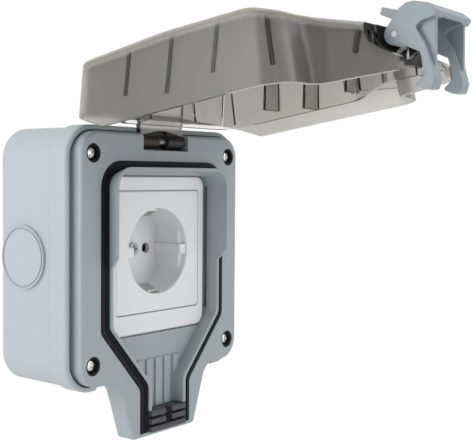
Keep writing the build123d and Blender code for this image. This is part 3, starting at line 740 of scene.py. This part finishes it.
@dataclass
class Studio:
    """Camera, lamps, floor and white surround."""

    # Camera that was solved from the photograph
    lens_mm: float = 71.79
    sensor_mm: float = 36.0
    shift_x: float = 0.0087
    shift_y: float = -0.0219
    azimuth_deg: float = -51.823
    elevation_deg: float = 2.237
    roll_deg: float = 0.426
    camera_mm: Triple = (-320.478, -339.488, 35.924)
    near_clip_mm: float = 10.0

    floor_mm: float = -150.0
    floor_half_mm: float = 2000.0
    floor_colour: str = "#F4F4F4"
    surround_light: float = 0.55
    lamps: tuple[Lamp, ...] = (
        Lamp("key_left", place_m=(-0.6, 0.12, 0.1), aim_m=(0.0, -0.02, 0.0), side_m=0.45, power_w=2.0),
        Lamp("fill_front", place_m=(0.5, -1.25, 0.35), aim_m=(0.0, -0.06, 0.02), side_m=0.9, power_w=4.4),
        Lamp("top_soft", place_m=(0.0, -0.2, 1.1), aim_m=(0.0, -0.06, 0.02), side_m=0.8, power_w=3.5),
    )

    def add_camera(self) -> None:
        """Places the camera where the photograph was taken from."""
        degrees = (self.azimuth_deg, self.elevation_deg, self.roll_deg)
        azimuth, elevation, roll = (math.radians(angle) for angle in degrees)
        level = math.cos(elevation)
        back = Vector((math.sin(azimuth) * level, -math.cos(azimuth) * level, math.sin(elevation)))
        right = Vector((math.cos(azimuth), math.sin(azimuth), 0.0))
        up = back.cross(right)
        rolled_right = math.cos(roll) * right + math.sin(roll) * up
        rolled_up = -math.sin(roll) * right + math.cos(roll) * up
        data = bpy.data.cameras.new("photo_camera")
        data.lens = self.lens_mm
        data.sensor_width = self.sensor_mm
        data.shift_x = self.shift_x
        data.shift_y = self.shift_y
        data.clip_start = self.near_clip_mm * MM
        camera = add_object("photo_camera", data)
        turn = Matrix((rolled_right, rolled_up, back)).transposed()
        camera.matrix_world = Matrix.Translation(Vector(self.camera_mm) * MM) @ turn.to_4x4()
        bpy.context.scene.camera = camera

    def white_where_seen(self, tree: bpy.types.NodeTree) -> Socket:
        """Adds a factor that is one for camera, glossy and transmission rays.

        Args:
            tree: Node tree that takes the nodes.

        Returns:
            The factor's socket.
        """
        path = add_node(tree, "ShaderNodeLightPath").outputs
        seen = path["Is Camera Ray"]
        for ray in ("Is Glossy Ray", "Is Transmission Ray"):
            either = add_node(
                tree,
                "ShaderNodeMath",
                settings={"operation": "MAXIMUM"},
                inputs={0: seen, 1: path[ray]},
            )
            seen = either.outputs[0]
        return seen

    def add_surround(self) -> None:
        """Lights the scene from a plain white surround, which is pure white where it is seen."""
        world = bpy.data.worlds.new("white_surround")
        world.use_nodes = True
        tree = world.node_tree
        tree.nodes.clear()
        soft, seen = (
            add_node(tree, "ShaderNodeBackground", inputs={"Color": WHITE, "Strength": strength})
            for strength in (self.surround_light, 1.0)
        )
        mix = add_node(
            tree,
            "ShaderNodeMixShader",
            inputs={0: self.white_where_seen(tree), 1: soft.outputs[0], 2: seen.outputs[0]},
        )
        add_node(tree, "ShaderNodeOutputWorld", inputs={"Surface": mix.outputs[0]})
        bpy.context.scene.world = world

    def add_floor(self) -> None:
        """Adds a pale floor below the part, which is pure white where it is seen."""
        material, tree = new_material("floor_white_paper")
        paper = add_node(tree, "ShaderNodeBsdfDiffuse", inputs={"Color": linear(self.floor_colour)})
        glow = add_node(tree, "ShaderNodeEmission", inputs={"Color": WHITE, "Strength": 1.0})
        mix = add_node(
            tree,
            "ShaderNodeMixShader",
            inputs={0: self.white_where_seen(tree), 1: paper.outputs[0], 2: glow.outputs[0]},
        )
        add_node(tree, "ShaderNodeOutputMaterial", inputs={"Surface": mix.outputs[0]})
        mesh = bpy.data.meshes.new("floor")
        half, level = self.floor_half_mm * MM, self.floor_mm * MM
        corners = [(-half, -half, level), (half, -half, level), (half, half, level), (-half, half, level)]
        mesh.from_pydata(corners, [], [(0, 1, 2, 3)])
        mesh.materials.append(material)
        floor = add_object("floor", mesh)

    def build(self) -> None:
        """Builds the whole studio."""
        self.add_camera()
        self.add_surround()
        self.add_floor()
        for lamp in self.lamps:
            lamp.add()
        bpy.context.scene.view_settings.view_transform = "Standard"
        LOG.info("studio is set")


# Enclosure
@dataclass(frozen=True)
class ScrewGrid:
    """Cross-recessed pan-head screws on a square grid, each left at its own turn."""

    screws_a_side: int = 2
    pitch_x_mm: float = 90.0
    pitch_z_mm: float = 90.0
    head_rear_mm: float = 43.3
    head_d_mm: float = 5.9
    head_height_mm: float = 3.9
    head_dome_mm: float = 1.3
    head_steps: int = 7
    shank_d_mm: float = 3.98
    shank_mm: float = 16.9
    # Width, depth and length of the bars that cut the cross, half of their depth in the head
    slot_mm: Triple = (1.0, 1.8, 3.6)
    sides: int = 48
    seed: int = 7

    def blank(self) -> bpy.types.Object:
        """Turns the screw's profile round its axis, head to the front.

        Returns:
            An object that holds one screw without its recess.
        """
        head_r, shank_r = self.head_d_mm / 2, self.shank_d_mm / 2
        profile = []
        for step in range(self.head_steps + 1):
            angle = math.pi / 2 * step / self.head_steps
            fall = self.head_dome_mm * (1 - math.cos(angle))
            profile.append((head_r * math.sin(angle), fall - self.head_height_mm))
        profile += [(head_r, 0.0), (shank_r, 0.0), (shank_r, self.shank_mm), (0.0, self.shank_mm)]
        work = bmesh.new()
        corners = [work.verts.new((r * MM, y * MM, 0.0)) for r, y in profile]
        edges = [work.edges.new(pair) for pair in zip(corners, corners[1:])]
        bmesh.ops.spin(
            work, geom=corners + edges, axis=(0, 1, 0), cent=(0, 0, 0), angle=math.tau, steps=self.sides
        )
        bmesh.ops.remove_doubles(work, verts=work.verts, dist=TURNED_WELD_MM * MM)
        bmesh.ops.recalc_face_normals(work, faces=work.faces)
        mesh = bpy.data.meshes.new("screw_blank")
        write_back(work, mesh)
        return bpy.data.objects.new("screw_blank", mesh)

    def tree(self) -> bpy.types.NodeTree:
        """Builds the node tree that cuts the recess and sets the screws out.

        Returns:
            The geometry node tree.
        """
        tree, given = new_geometry_tree(
            "screw_grid",
            {
                "Blank": "NodeSocketObject",
                "Pitch X": "NodeSocketFloat",
                "Pitch Z": "NodeSocketFloat",
                "Head Rear": "NodeSocketFloat",
                "Head Height": "NodeSocketFloat",
                "Slot": "NodeSocketVector",
                "Cross Slot": "NodeSocketVector",
                "Seed": "NodeSocketInt",
                "Finish": "NodeSocketMaterial",
            },
        )
        negate = {"operation": "MULTIPLY"}
        top = add_node(tree, "ShaderNodeMath", settings=negate, inputs={0: given["Head Height"], 1: -1.0})
        place = add_node(tree, "ShaderNodeCombineXYZ", inputs={"Y": top.outputs[0]})
        blank = add_node(tree, "GeometryNodeObjectInfo", inputs={"Object": given["Blank"]})
        cut = add_node(
            tree,
            "GeometryNodeMeshBoolean",
            settings={"operation": "DIFFERENCE", "solver": "EXACT"},
            inputs={"Mesh 1": blank.outputs["Geometry"]},
        )
        for name in ("Slot", "Cross Slot"):
            bar = add_node(tree, "GeometryNodeMeshCube", inputs={"Size": given[name]})
            cutter = add_node(
                tree,
                "GeometryNodeTransform",
                inputs={"Geometry": bar.outputs["Mesh"], "Translation": place.outputs[0]},
            )
            tree.links.new(cutter.outputs["Geometry"], cut.inputs["Mesh 2"])
        grid = add_node(
            tree,
            "GeometryNodeMeshGrid",
            inputs={
                "Size X": given["Pitch X"],
                "Size Y": given["Pitch Z"],
                "Vertices X": self.screws_a_side,
                "Vertices Y": self.screws_a_side,
            },
        )
        rear = add_node(tree, "ShaderNodeMath", settings=negate, inputs={0: given["Head Rear"], 1: -1.0})
        depth = add_node(tree, "ShaderNodeCombineXYZ", inputs={"Y": rear.outputs[0]})
        upright = add_node(
            tree,
            "GeometryNodeTransform",
            inputs={
                "Geometry": grid.outputs["Mesh"],
                "Translation": depth.outputs[0],
                "Rotation": (math.pi / 2, 0.0, 0.0),
            },
        )
        turn = add_node(
            tree,
            "FunctionNodeRandomValue",
            settings={"data_type": "FLOAT"},
            inputs={2: 0.0, 3: math.pi / 2, "Seed": given["Seed"]},
        )
        about_axis = add_node(tree, "ShaderNodeCombineXYZ", inputs={"Y": turn.outputs[1]})
        rotation = add_node(tree, "FunctionNodeEulerToRotation", inputs={"Euler": about_axis.outputs[0]})
        screws = add_node(
            tree,
            "GeometryNodeInstanceOnPoints",
            inputs={
                "Points": upright.outputs["Geometry"],
                "Instance": cut.outputs["Mesh"],
                "Rotation": rotation.outputs["Rotation"],
            },
        )
        end_geometry_tree(tree, screws.outputs["Instances"], given["Finish"])
        return tree

    def build(self, material: bpy.types.Material) -> None:
        """Makes the screws and lets them stand for the CAD node.

        Args:
            material: Finish of the screws.
        """
        blank = self.blank()
        piece = add_object("cross_head_screws", bpy.data.meshes.new("cross_head_screws"))
        across, deep, along = (size * MM for size in self.slot_mm)
        values = {
            "Blank": blank,
            "Pitch X": self.pitch_x_mm * MM,
            "Pitch Z": self.pitch_z_mm * MM,
            "Head Rear": self.head_rear_mm * MM,
            "Head Height": self.head_height_mm * MM,
            "Slot": (across, deep, along),
            "Cross Slot": (along, deep, across),
            "Seed": self.seed,
            "Finish": material,
        }
        run_geometry_tree(piece, self.tree(), values)
        piece.data = in_order(piece.data)
        piece.data.materials.append(material)
        lead_by_flats(piece.data, MADE_CREASE_DEG)
        bpy.data.objects.remove(blank)
        stand_for(piece, "cover_screws", Body.ENCLOSURE)


@dataclass
class Enclosure:
    """Wall box and front frame, with their seals and screws."""

    # Ring groove of a knockout: how far in, its walls, floor and depth, and how level a cap's corners are
    groove_in_mm: float = 0.7
    groove_wall_mm: float = 0.2
    groove_floor_mm: float = 0.5
    groove_depth_mm: float = 0.6
    level_mm: float = 0.02

    def groove_knockouts(self, box: bpy.types.Object) -> None:
        """Cuts the ring groove that lets each side knockout break out.

        Args:
            box: The wall box's visual piece.
        """
        steps = (
            (self.groove_in_mm, 0.0),
            (self.groove_wall_mm, -self.groove_depth_mm),
            (self.groove_floor_mm, 0.0),
            (self.groove_wall_mm, self.groove_depth_mm),
        )
        work = bmesh.new()
        work.from_mesh(box.data)
        for side in (-1, 1):
            level = max(side * v.co.x for v in work.verts) - self.level_mm * MM
            cap = [f for f in work.faces if all(side * v.co.x > level for v in f.verts)]
            for width, rise in steps:
                bmesh.ops.inset_region(
                    work, faces=cap, thickness=width * MM, depth=rise * MM, use_even_offset=True
                )
            LOG.info("knockout groove: %d cap faces", len(cap))
        write_back(work, box.data)
        lead_by_flats(box.data, COPY_CREASE_DEG)

    def build(self, steel: bpy.types.Material, pin_steel: bpy.types.Material) -> None:
        """Dresses the fixed pieces of the enclosure.

        Args:
            steel: Finish of the screws.
            pin_steel: Finish of the hinge pin.
        """
        rubber = SEAL_RUBBER.material()
        box = smooth_copy("back_box", "wall_box", BOX_PLASTIC.material(), Body.ENCLOSURE)
        self.groove_knockouts(box)
        smooth_copy("front_frame", "frame_front", FRAME_PLASTIC.material(), Body.ENCLOSURE)
        smooth_copy("lid_gasket", "gasket_ring", rubber, Body.ENCLOSURE)
        smooth_copy("screw_seals", "screw_cups", rubber, Body.ENCLOSURE)
        smooth_copy("cable_seal", "cable_fins", CABLE_RUBBER.material(), Body.ENCLOSURE)
        smooth_copy("hinge_pin", "lid_pin", pin_steel, Body.ENCLOSURE)
        dress_node("box_seal", rubber)
        ScrewGrid().build(steel)


# Socket insert
@dataclass(frozen=True)
class EarthClips:
    """Strip behind the recess floor with two sprung arms, bowed inwards to lead the plug in."""

    thickness_mm: float = 0.8
    # How far the CAD strap's arms stand out of the recess floor
    reach_mm: float = 13.5
    # Points along an arm: how far out of the floor, and how far inwards
    bow_mm: tuple[tuple[float, float], ...] = (
        (0.0, 0.0),
        (2.5, 0.35),
        (5.0, 1.7),
        (6.6, 2.3),
        (8.2, 2.1),
        (10.5, 0.9),
        (13.4, -0.5),
    )

    def line(self, low: Vector, high: Vector, skin: float) -> list[tuple[float, float]]:
        """Follows the strip from one arm's tip round its rear to the other's.

        Args:
            low: Lowest corner of the CAD strap.
            high: Highest corner of the CAD strap.
            skin: How far inside the strip's outer side the line runs.

        Returns:
            The Y and Z of each point, in metres.
        """
        middle, half = (low.z + high.z) / 2, (high.z - low.z) / 2
        floor = low.y + self.reach_mm * MM
        arm = [(high.y - skin, half - skin)]
        arm += [(floor - out * MM, half - inwards * MM - skin) for out, inwards in self.bow_mm]
        return [(y, middle + z) for y, z in reversed(arm)] + [(y, middle - z) for y, z in arm]

    def build(self, material: bpy.types.Material) -> None:
        """Makes the strip and lets it stand for the CAD node.

        Args:
            material: Finish of the strip.
        """
        low, high = (Vector(corner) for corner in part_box("earth_strap"))
        outer = self.line(low, high, 0.0)
        inner = self.line(low, high, self.thickness_mm * MM)
        outline = outer + inner[::-1]
        work = bmesh.new()
        near, far = ([work.verts.new((x, y, z)) for y, z in outline] for x in (low.x, high.x))
        for k in range(len(outline)):
            work.faces.new((near[k - 1], near[k], far[k], far[k - 1]))
        for side in (near, far):
            for k in range(len(outer) - 1):
                work.faces.new((side[k], side[k + 1], side[-2 - k], side[-1 - k]))
        bmesh.ops.recalc_face_normals(work, faces=work.faces)
        mesh = bpy.data.meshes.new("earth_clips")
        write_back(work, mesh)
        mesh.materials.append(material)
        lead_by_flats(mesh, MADE_CREASE_DEG)
        piece = add_object("earth_clips", mesh)
        stand_for(piece, "earth_strap", Body.ENCLOSURE)


@dataclass
class Insert:
    """White socket insert and the pieces behind it."""

    def build(self, steel: bpy.types.Material, pin_steel: bpy.types.Material) -> None:
        """Dresses the pieces of the socket insert.

        Args:
            steel: Finish of the hidden plate and screws.
            pin_steel: Finish of the screw in the recess.
        """
        white = WHITE_PLASTIC.material()
        brass = BRASS.material()
        smooth_copy("socket_face", "plug_recess", white, Body.ENCLOSURE)
        smooth_copy("support_plate", "plate_surround", white, Body.ENCLOSURE)
        EarthClips().build(SPRING_METAL.material())
        smooth_copy("centre_screw", "insert_screw", pin_steel, Body.ENCLOSURE)
        dress_node("socket_base", BASE_PLASTIC.material())
        for node in ("mounting_yoke", "plate_screws", "terminal_screws"):
            dress_node(node, steel)
        for node in ("line_contact", "neutral_contact"):
            dress_node(node, brass)


# Lid and clip
class LidFinish(IntEnum):
    """Material slots of the lid's shell."""

    SATIN = 0
    LINING = 1
    POLISHED = 2
    THICK = 3
    # Painted highlight on the crown's rounded edge
    ROUNDING = 4
    # Painted shade: dense smoke on the webs
    WEB = 5


@dataclass(frozen=True)
class LidFace:
    """One face of the lid's shell, as it lies when the lid is closed."""

    place: Vector
    facing: Vector
    uncovered: bool
    outwards: bool
    near_crown: bool


@dataclass(frozen=True)
class Rib:
    """One rib inside the closed lid, with the stretch of wall that its line runs along.

    The wall lies towards a direction in X and Z. The line runs between two depths and may lean.
    """

    x_mm: float
    z_mm: float
    towards: tuple[float, float]
    first_mm: float
    last_mm: float
    lean: float = 0.0

    def mirrored(self) -> "Rib":
        """Gives the same rib on the lid's other side."""
        return replace(self, x_mm=-self.x_mm, towards=(-self.towards[0], self.towards[1]))


# Ways in which the wall lies from a rib, in X and Z
SIDEWAYS = (1.0, 0.0)
TO_WAIST = (0.757, -0.653)
TO_HINGE = (0.0, 1.0)
# How far a rib shifts along the lid for each millimetre of depth
RIB_LEAN = 0.19


@dataclass
class LidAndClip:
    """Smoked lid with its rocker clip."""

    # Hinge axis, and how far the lid of the photograph stands open
    hinge_mm: Triple = (0.0, -44.0, 51.0)
    open_deg: float = 98.94

    # Ribs on one side of the lid and half of its hinge end
    half_ribs: tuple[Rib, ...] = (
        Rib(40.0, 18.5, SIDEWAYS, first_mm=55.0, last_mm=73.0, lean=RIB_LEAN),
        Rib(40.0, -3.5, SIDEWAYS, first_mm=51.5, last_mm=73.0, lean=RIB_LEAN),
        Rib(40.0, -26.5, SIDEWAYS, first_mm=54.5, last_mm=73.0, lean=RIB_LEAN),
        Rib(15.0, -70.5, SIDEWAYS, first_mm=54.3, last_mm=65.5, lean=RIB_LEAN),
        Rib(42.0, -44.5, TO_WAIST, first_mm=52.0, last_mm=71.5),
        Rib(15.0, 40.0, TO_HINGE, first_mm=57.0, last_mm=69.0),
        Rib(45.0, 40.0, TO_HINGE, first_mm=57.0, last_mm=69.0),
    )
    # Painted-shade lines of the ribs, near-black bars in the wall: how far inside the wall, how wide, how
    # many points, and where rays to the wall start
    rib_inset_mm: float = 1.15
    rib_width_mm: float = 1.1
    rib_steps: int = 5
    cast_mm: float = 90.0

    # Crown along the lid: height and depth of its bends, and the least tilt of its faces
    crown_mm: tuple[tuple[float, float], ...] = (
        (35.0, -74.2),
        (-5.0, -75.7),
        (-45.0, -74.7),
        (-82.0, -63.9),
    )
    crown_tilt: float = 0.3

    # Rounding of the crown's edge, which is painted as a highlight: least and most tilt, and nearness to the
    # flat crown
    rounding_tilt: tuple[float, float] = (0.2, 0.93)
    rounding_mm: float = 2.3

    # Hinge barrels: half their width, and the depth and height that they start at
    barrel_mm: Triple = (14.5, -49.0, 46.0)

    # Edges of the bay that takes the clip: the depth and height that they start at, and their tilt
    bay_mm: tuple[float, float] = (-52.0, -60.0)
    bay_facing: float = 0.5

    # Webs between the two walls, which take the painted shade: their tilt, and how far out they start
    web_facing: float = 0.85
    web_from_mm: float = 37.0

    # Middle of the lid, thickest outer wall, and start of a ray off its own face
    middle_z_mm: float = -10.0
    wall_limit_mm: float = 3.0
    skip_mm: float = 0.01

    def closing(self) -> Matrix:
        """Gives the turn that carries the open lid of the photograph to its closed place."""
        hinge = Matrix.Translation(Vector(self.hinge_mm) * MM)
        return hinge @ Matrix.Rotation(math.radians(self.open_deg), 4, "X") @ hinge.inverted()

    def crown_planes(self) -> list[Plane]:
        """Works out the slopes of the lid's crown where the lid stands open.

        Returns:
            Inward normal and offset of each slope, in metres.
        """
        closing = self.closing()
        planes = []
        for (z, y), (next_z, next_y) in zip(self.crown_mm, self.crown_mm[1:]):
            slope = (next_y - y) / (next_z - z)
            inward = Vector((0.0, 1.0, -slope)).normalized()
            start = Vector((0.0, y, z)) * MM
            planes.append((closing.to_3x3().transposed() @ inward, inward.dot(closing.translation - start)))
        return planes

    def rib_tree(self) -> bpy.types.NodeTree:
        """Builds the node tree that gives each rib line its thickness.

        Returns:
            The geometry node tree.
        """
        tree, given = new_geometry_tree(
            "rib_lines",
            {
                "Geometry": "NodeSocketGeometry",
                "Width": "NodeSocketFloat",
                "Finish": "NodeSocketMaterial",
            },
        )
        line = add_node(tree, "GeometryNodeMeshToCurve", inputs={"Mesh": given["Geometry"]})
        section = add_node(
            tree,
            "GeometryNodeCurvePrimitiveQuadrilateral",
            inputs={"Width": given["Width"], "Height": given["Width"]},
        )
        bars = add_node(
            tree,
            "GeometryNodeCurveToMesh",
            inputs={
                "Curve": line.outputs["Curve"],
                "Profile Curve": section.outputs["Curve"],
                "Fill Caps": True,
            },
        )
        end_geometry_tree(tree, bars.outputs["Mesh"], given["Finish"])
        return tree

    def rib_line(self, rib: Rib, walls: BVHTree) -> list[Vector]:
        """Follows a rib along the wall of the open lid.

        Args:
            rib: The rib.
            walls: Search tree of the lid's shell.

        Returns:
            Points just inside the wall.
        """
        opening = self.closing().inverted()
        inward = (opening.to_3x3() @ Vector((-rib.towards[0], 0.0, -rib.towards[1]))).normalized()
        points = []
        for step in range(self.rib_steps):
            along = (rib.last_mm - rib.first_mm) * step / (self.rib_steps - 1)
            inside = opening @ (Vector((rib.x_mm, -rib.first_mm - along, rib.z_mm - along * rib.lean)) * MM)
            hit = walls.ray_cast(inside - inward * self.cast_mm * MM, inward)[0]
            if hit is not None:
                points.append(hit + inward * self.rib_inset_mm * MM)
        return points

    def add_rib_lines(self, walls: BVHTree, thick_and_rib_shade: bpy.types.Material) -> None:
        """Adds painted shade: near-black lines just inside the lid's wall, where the ribs run into it.

        Args:
            walls: Search tree of the lid's shell.
            thick_and_rib_shade: Near-black finish of thick smoked plastic, here the painted shade of the rib
                lines.
        """
        points: list[Vector] = []
        edges: list[tuple[int, int]] = []
        for rib in [rib.mirrored() for rib in self.half_ribs] + list(self.half_ribs):
            line = self.rib_line(rib, walls)
            edges += [(len(points) + k, len(points) + k + 1) for k in range(len(line) - 1)]
            points += line
        mesh = bpy.data.meshes.new("lid_rib_lines")
        mesh.from_pydata(points, edges, [])
        piece = add_object("lid_rib_lines", mesh)
        run_geometry_tree(piece, self.rib_tree(), {"Width": self.rib_width_mm * MM, "Finish": thick_and_rib_shade})
        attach(piece, Body.LID.value)
        LOG.info("%s: %d edges, %d faces", piece.name, len(edges), len(piece.data.polygons))

    def read_faces(self, mesh: bpy.types.Mesh, walls: BVHTree) -> list[LidFace]:
        """Reads how each face of the shell lies.

        Args:
            mesh: Mesh of the open lid's shell.
            walls: Search tree of the shell.

        Returns:
            The faces in the mesh's order.
        """
        closing = self.closing()
        turn = closing.to_3x3()
        flat_from = -self.rounding_tilt[1]
        crown = search_tree(mesh, [f for f in mesh.polygons if (turn @ f.normal).y < flat_from])
        skip, middle = self.skip_mm * MM, self.middle_z_mm * MM
        faces = []
        for face in mesh.polygons:
            place, facing = closing @ face.center, turn @ face.normal
            cover = walls.ray_cast(face.center + face.normal * skip, face.normal)[0]
            near = crown.find_nearest(face.center, self.rounding_mm * MM)[0]
            outwards = facing.x * place.x + facing.z * (place.z - middle) > 0
            faces.append(LidFace(place, facing, cover is None, outwards, near is not None))
        return faces

    def is_crown(self, face: LidFace) -> bool:
        """Tells whether a face lies on the crown."""
        return face.uncovered and face.facing.y < -self.crown_tilt

    def is_outer(self, face: LidFace) -> bool:
        """Tells whether a face lies on the crown or on the outside of the outer wall."""
        wall = face.uncovered and face.outwards and face.facing.y < self.crown_tilt
        return wall or self.is_crown(face)

    def is_rounding(self, face: LidFace) -> bool:
        """Tells whether a face lies on the rounding of the crown's edge."""
        least, most = self.rounding_tilt
        return face.near_crown and face.uncovered and face.outwards and least < -face.facing.y < most

    def is_web(self, face: LidFace) -> bool:
        """Tells whether a face is the flat of a web between the two walls."""
        return abs(face.facing.z) > self.web_facing and abs(face.place.x) > self.web_from_mm * MM

    def is_thick(self, face: LidFace) -> bool:
        """Tells whether a face lies on a hinge barrel or on an edge of the clip's bay.

        Args:
            face: Face to test.

        Returns:
            Whether it lies there.
        """
        place = face.place
        half, barrel_y, barrel_z = (v * MM for v in self.barrel_mm)
        bay_y, bay_z = (v * MM for v in self.bay_mm)
        barrel = abs(place.x) < half and place.y > barrel_y and place.z > barrel_z
        return barrel or (place.y < bay_y and place.z < bay_z and face.facing.z < -self.bay_facing)

    def finish_faces(self, mesh: bpy.types.Mesh, walls: BVHTree, thick_and_rib_shade: bpy.types.Material) -> None:
        """Gives each part of the satin shell its own finish.

        The hinge barrels and the edges of the clip's bay are thick and dark, the crown's edge is a
        rounding with a painted highlight, the crown and the inside of the outer wall are milky, the webs
        have painted shade from dense smoke, and the inner walls are polished.

        Args:
            mesh: Mesh of the lid's shell, satin all over.
            walls: Search tree of the shell.
            thick_and_rib_shade: Near-black finish of thick smoked plastic, which the rib lines also wear as
                painted shade.
        """
        materials = {
            LidFinish.LINING: LID_LINING.material(),
            LidFinish.POLISHED: LID_POLISHED.material(),
            LidFinish.THICK: thick_and_rib_shade,
            LidFinish.ROUNDING: LID_ROUNDING_HIGHLIGHT.material(),
            LidFinish.WEB: LID_WEB_SHADE.material(),
        }
        for finish in sorted(materials):
            mesh.materials.append(materials[finish])
        faces = self.read_faces(mesh, walls)
        skip, limit = self.skip_mm * MM, self.wall_limit_mm * MM
        for polygon, face in zip(mesh.polygons, faces):
            behind, reach = walls.ray_cast(polygon.center - polygon.normal * skip, -polygon.normal)[2:]
            if self.is_thick(face):
                polygon.material_index = LidFinish.THICK
            elif self.is_rounding(face):
                polygon.material_index = LidFinish.ROUNDING
            elif self.is_crown(face):
                polygon.material_index = LidFinish.LINING
            elif self.is_outer(face):
                polygon.material_index = LidFinish.SATIN
            elif behind is not None and self.is_outer(faces[behind]) and reach < limit:
                polygon.material_index = LidFinish.LINING
            elif self.is_web(face):
                polygon.material_index = LidFinish.WEB
            else:
                polygon.material_index = LidFinish.POLISHED

    def build(self, pin_steel: bpy.types.Material) -> None:
        """Dresses the lid, the clip and the clip's pin.

        Args:
            pin_steel: Finish of the pin.
        """
        # Near-black thick plastic, which is also the painted shade of the rib lines
        thick_and_rib_shade = LID_THICK_AND_RIB_SHADE.material()
        # The crown's slopes place the painted highlight along the edge of the lid's outside
        satin = LID_OUTSIDE.material(self.crown_planes())
        shell = smooth_copy("lid_cover", "lid_shell", satin, Body.LID).data
        walls = search_tree(shell, shell.polygons)
        self.finish_faces(shell, walls, thick_and_rib_shade)
        self.add_rib_lines(walls, thick_and_rib_shade)
        smooth_copy("latch", "rocker_clip", CLIP_PLASTIC.material(), Body.CLIP)
        smooth_copy("latch_pin", "clip_pin", pin_steel, Body.LID)


def main() -> None:
    """Builds the studio and dresses the part, sub-assembly by sub-assembly."""
    logging.basicConfig(level=logging.INFO)
    Studio().build()
    steel = STEEL.material()
    pin_steel = PIN_STEEL.material()
    Enclosure().build(steel, pin_steel)
    Insert().build(steel, pin_steel)
    LidAndClip().build(pin_steel)


if __name__ == "__main__":
    main()
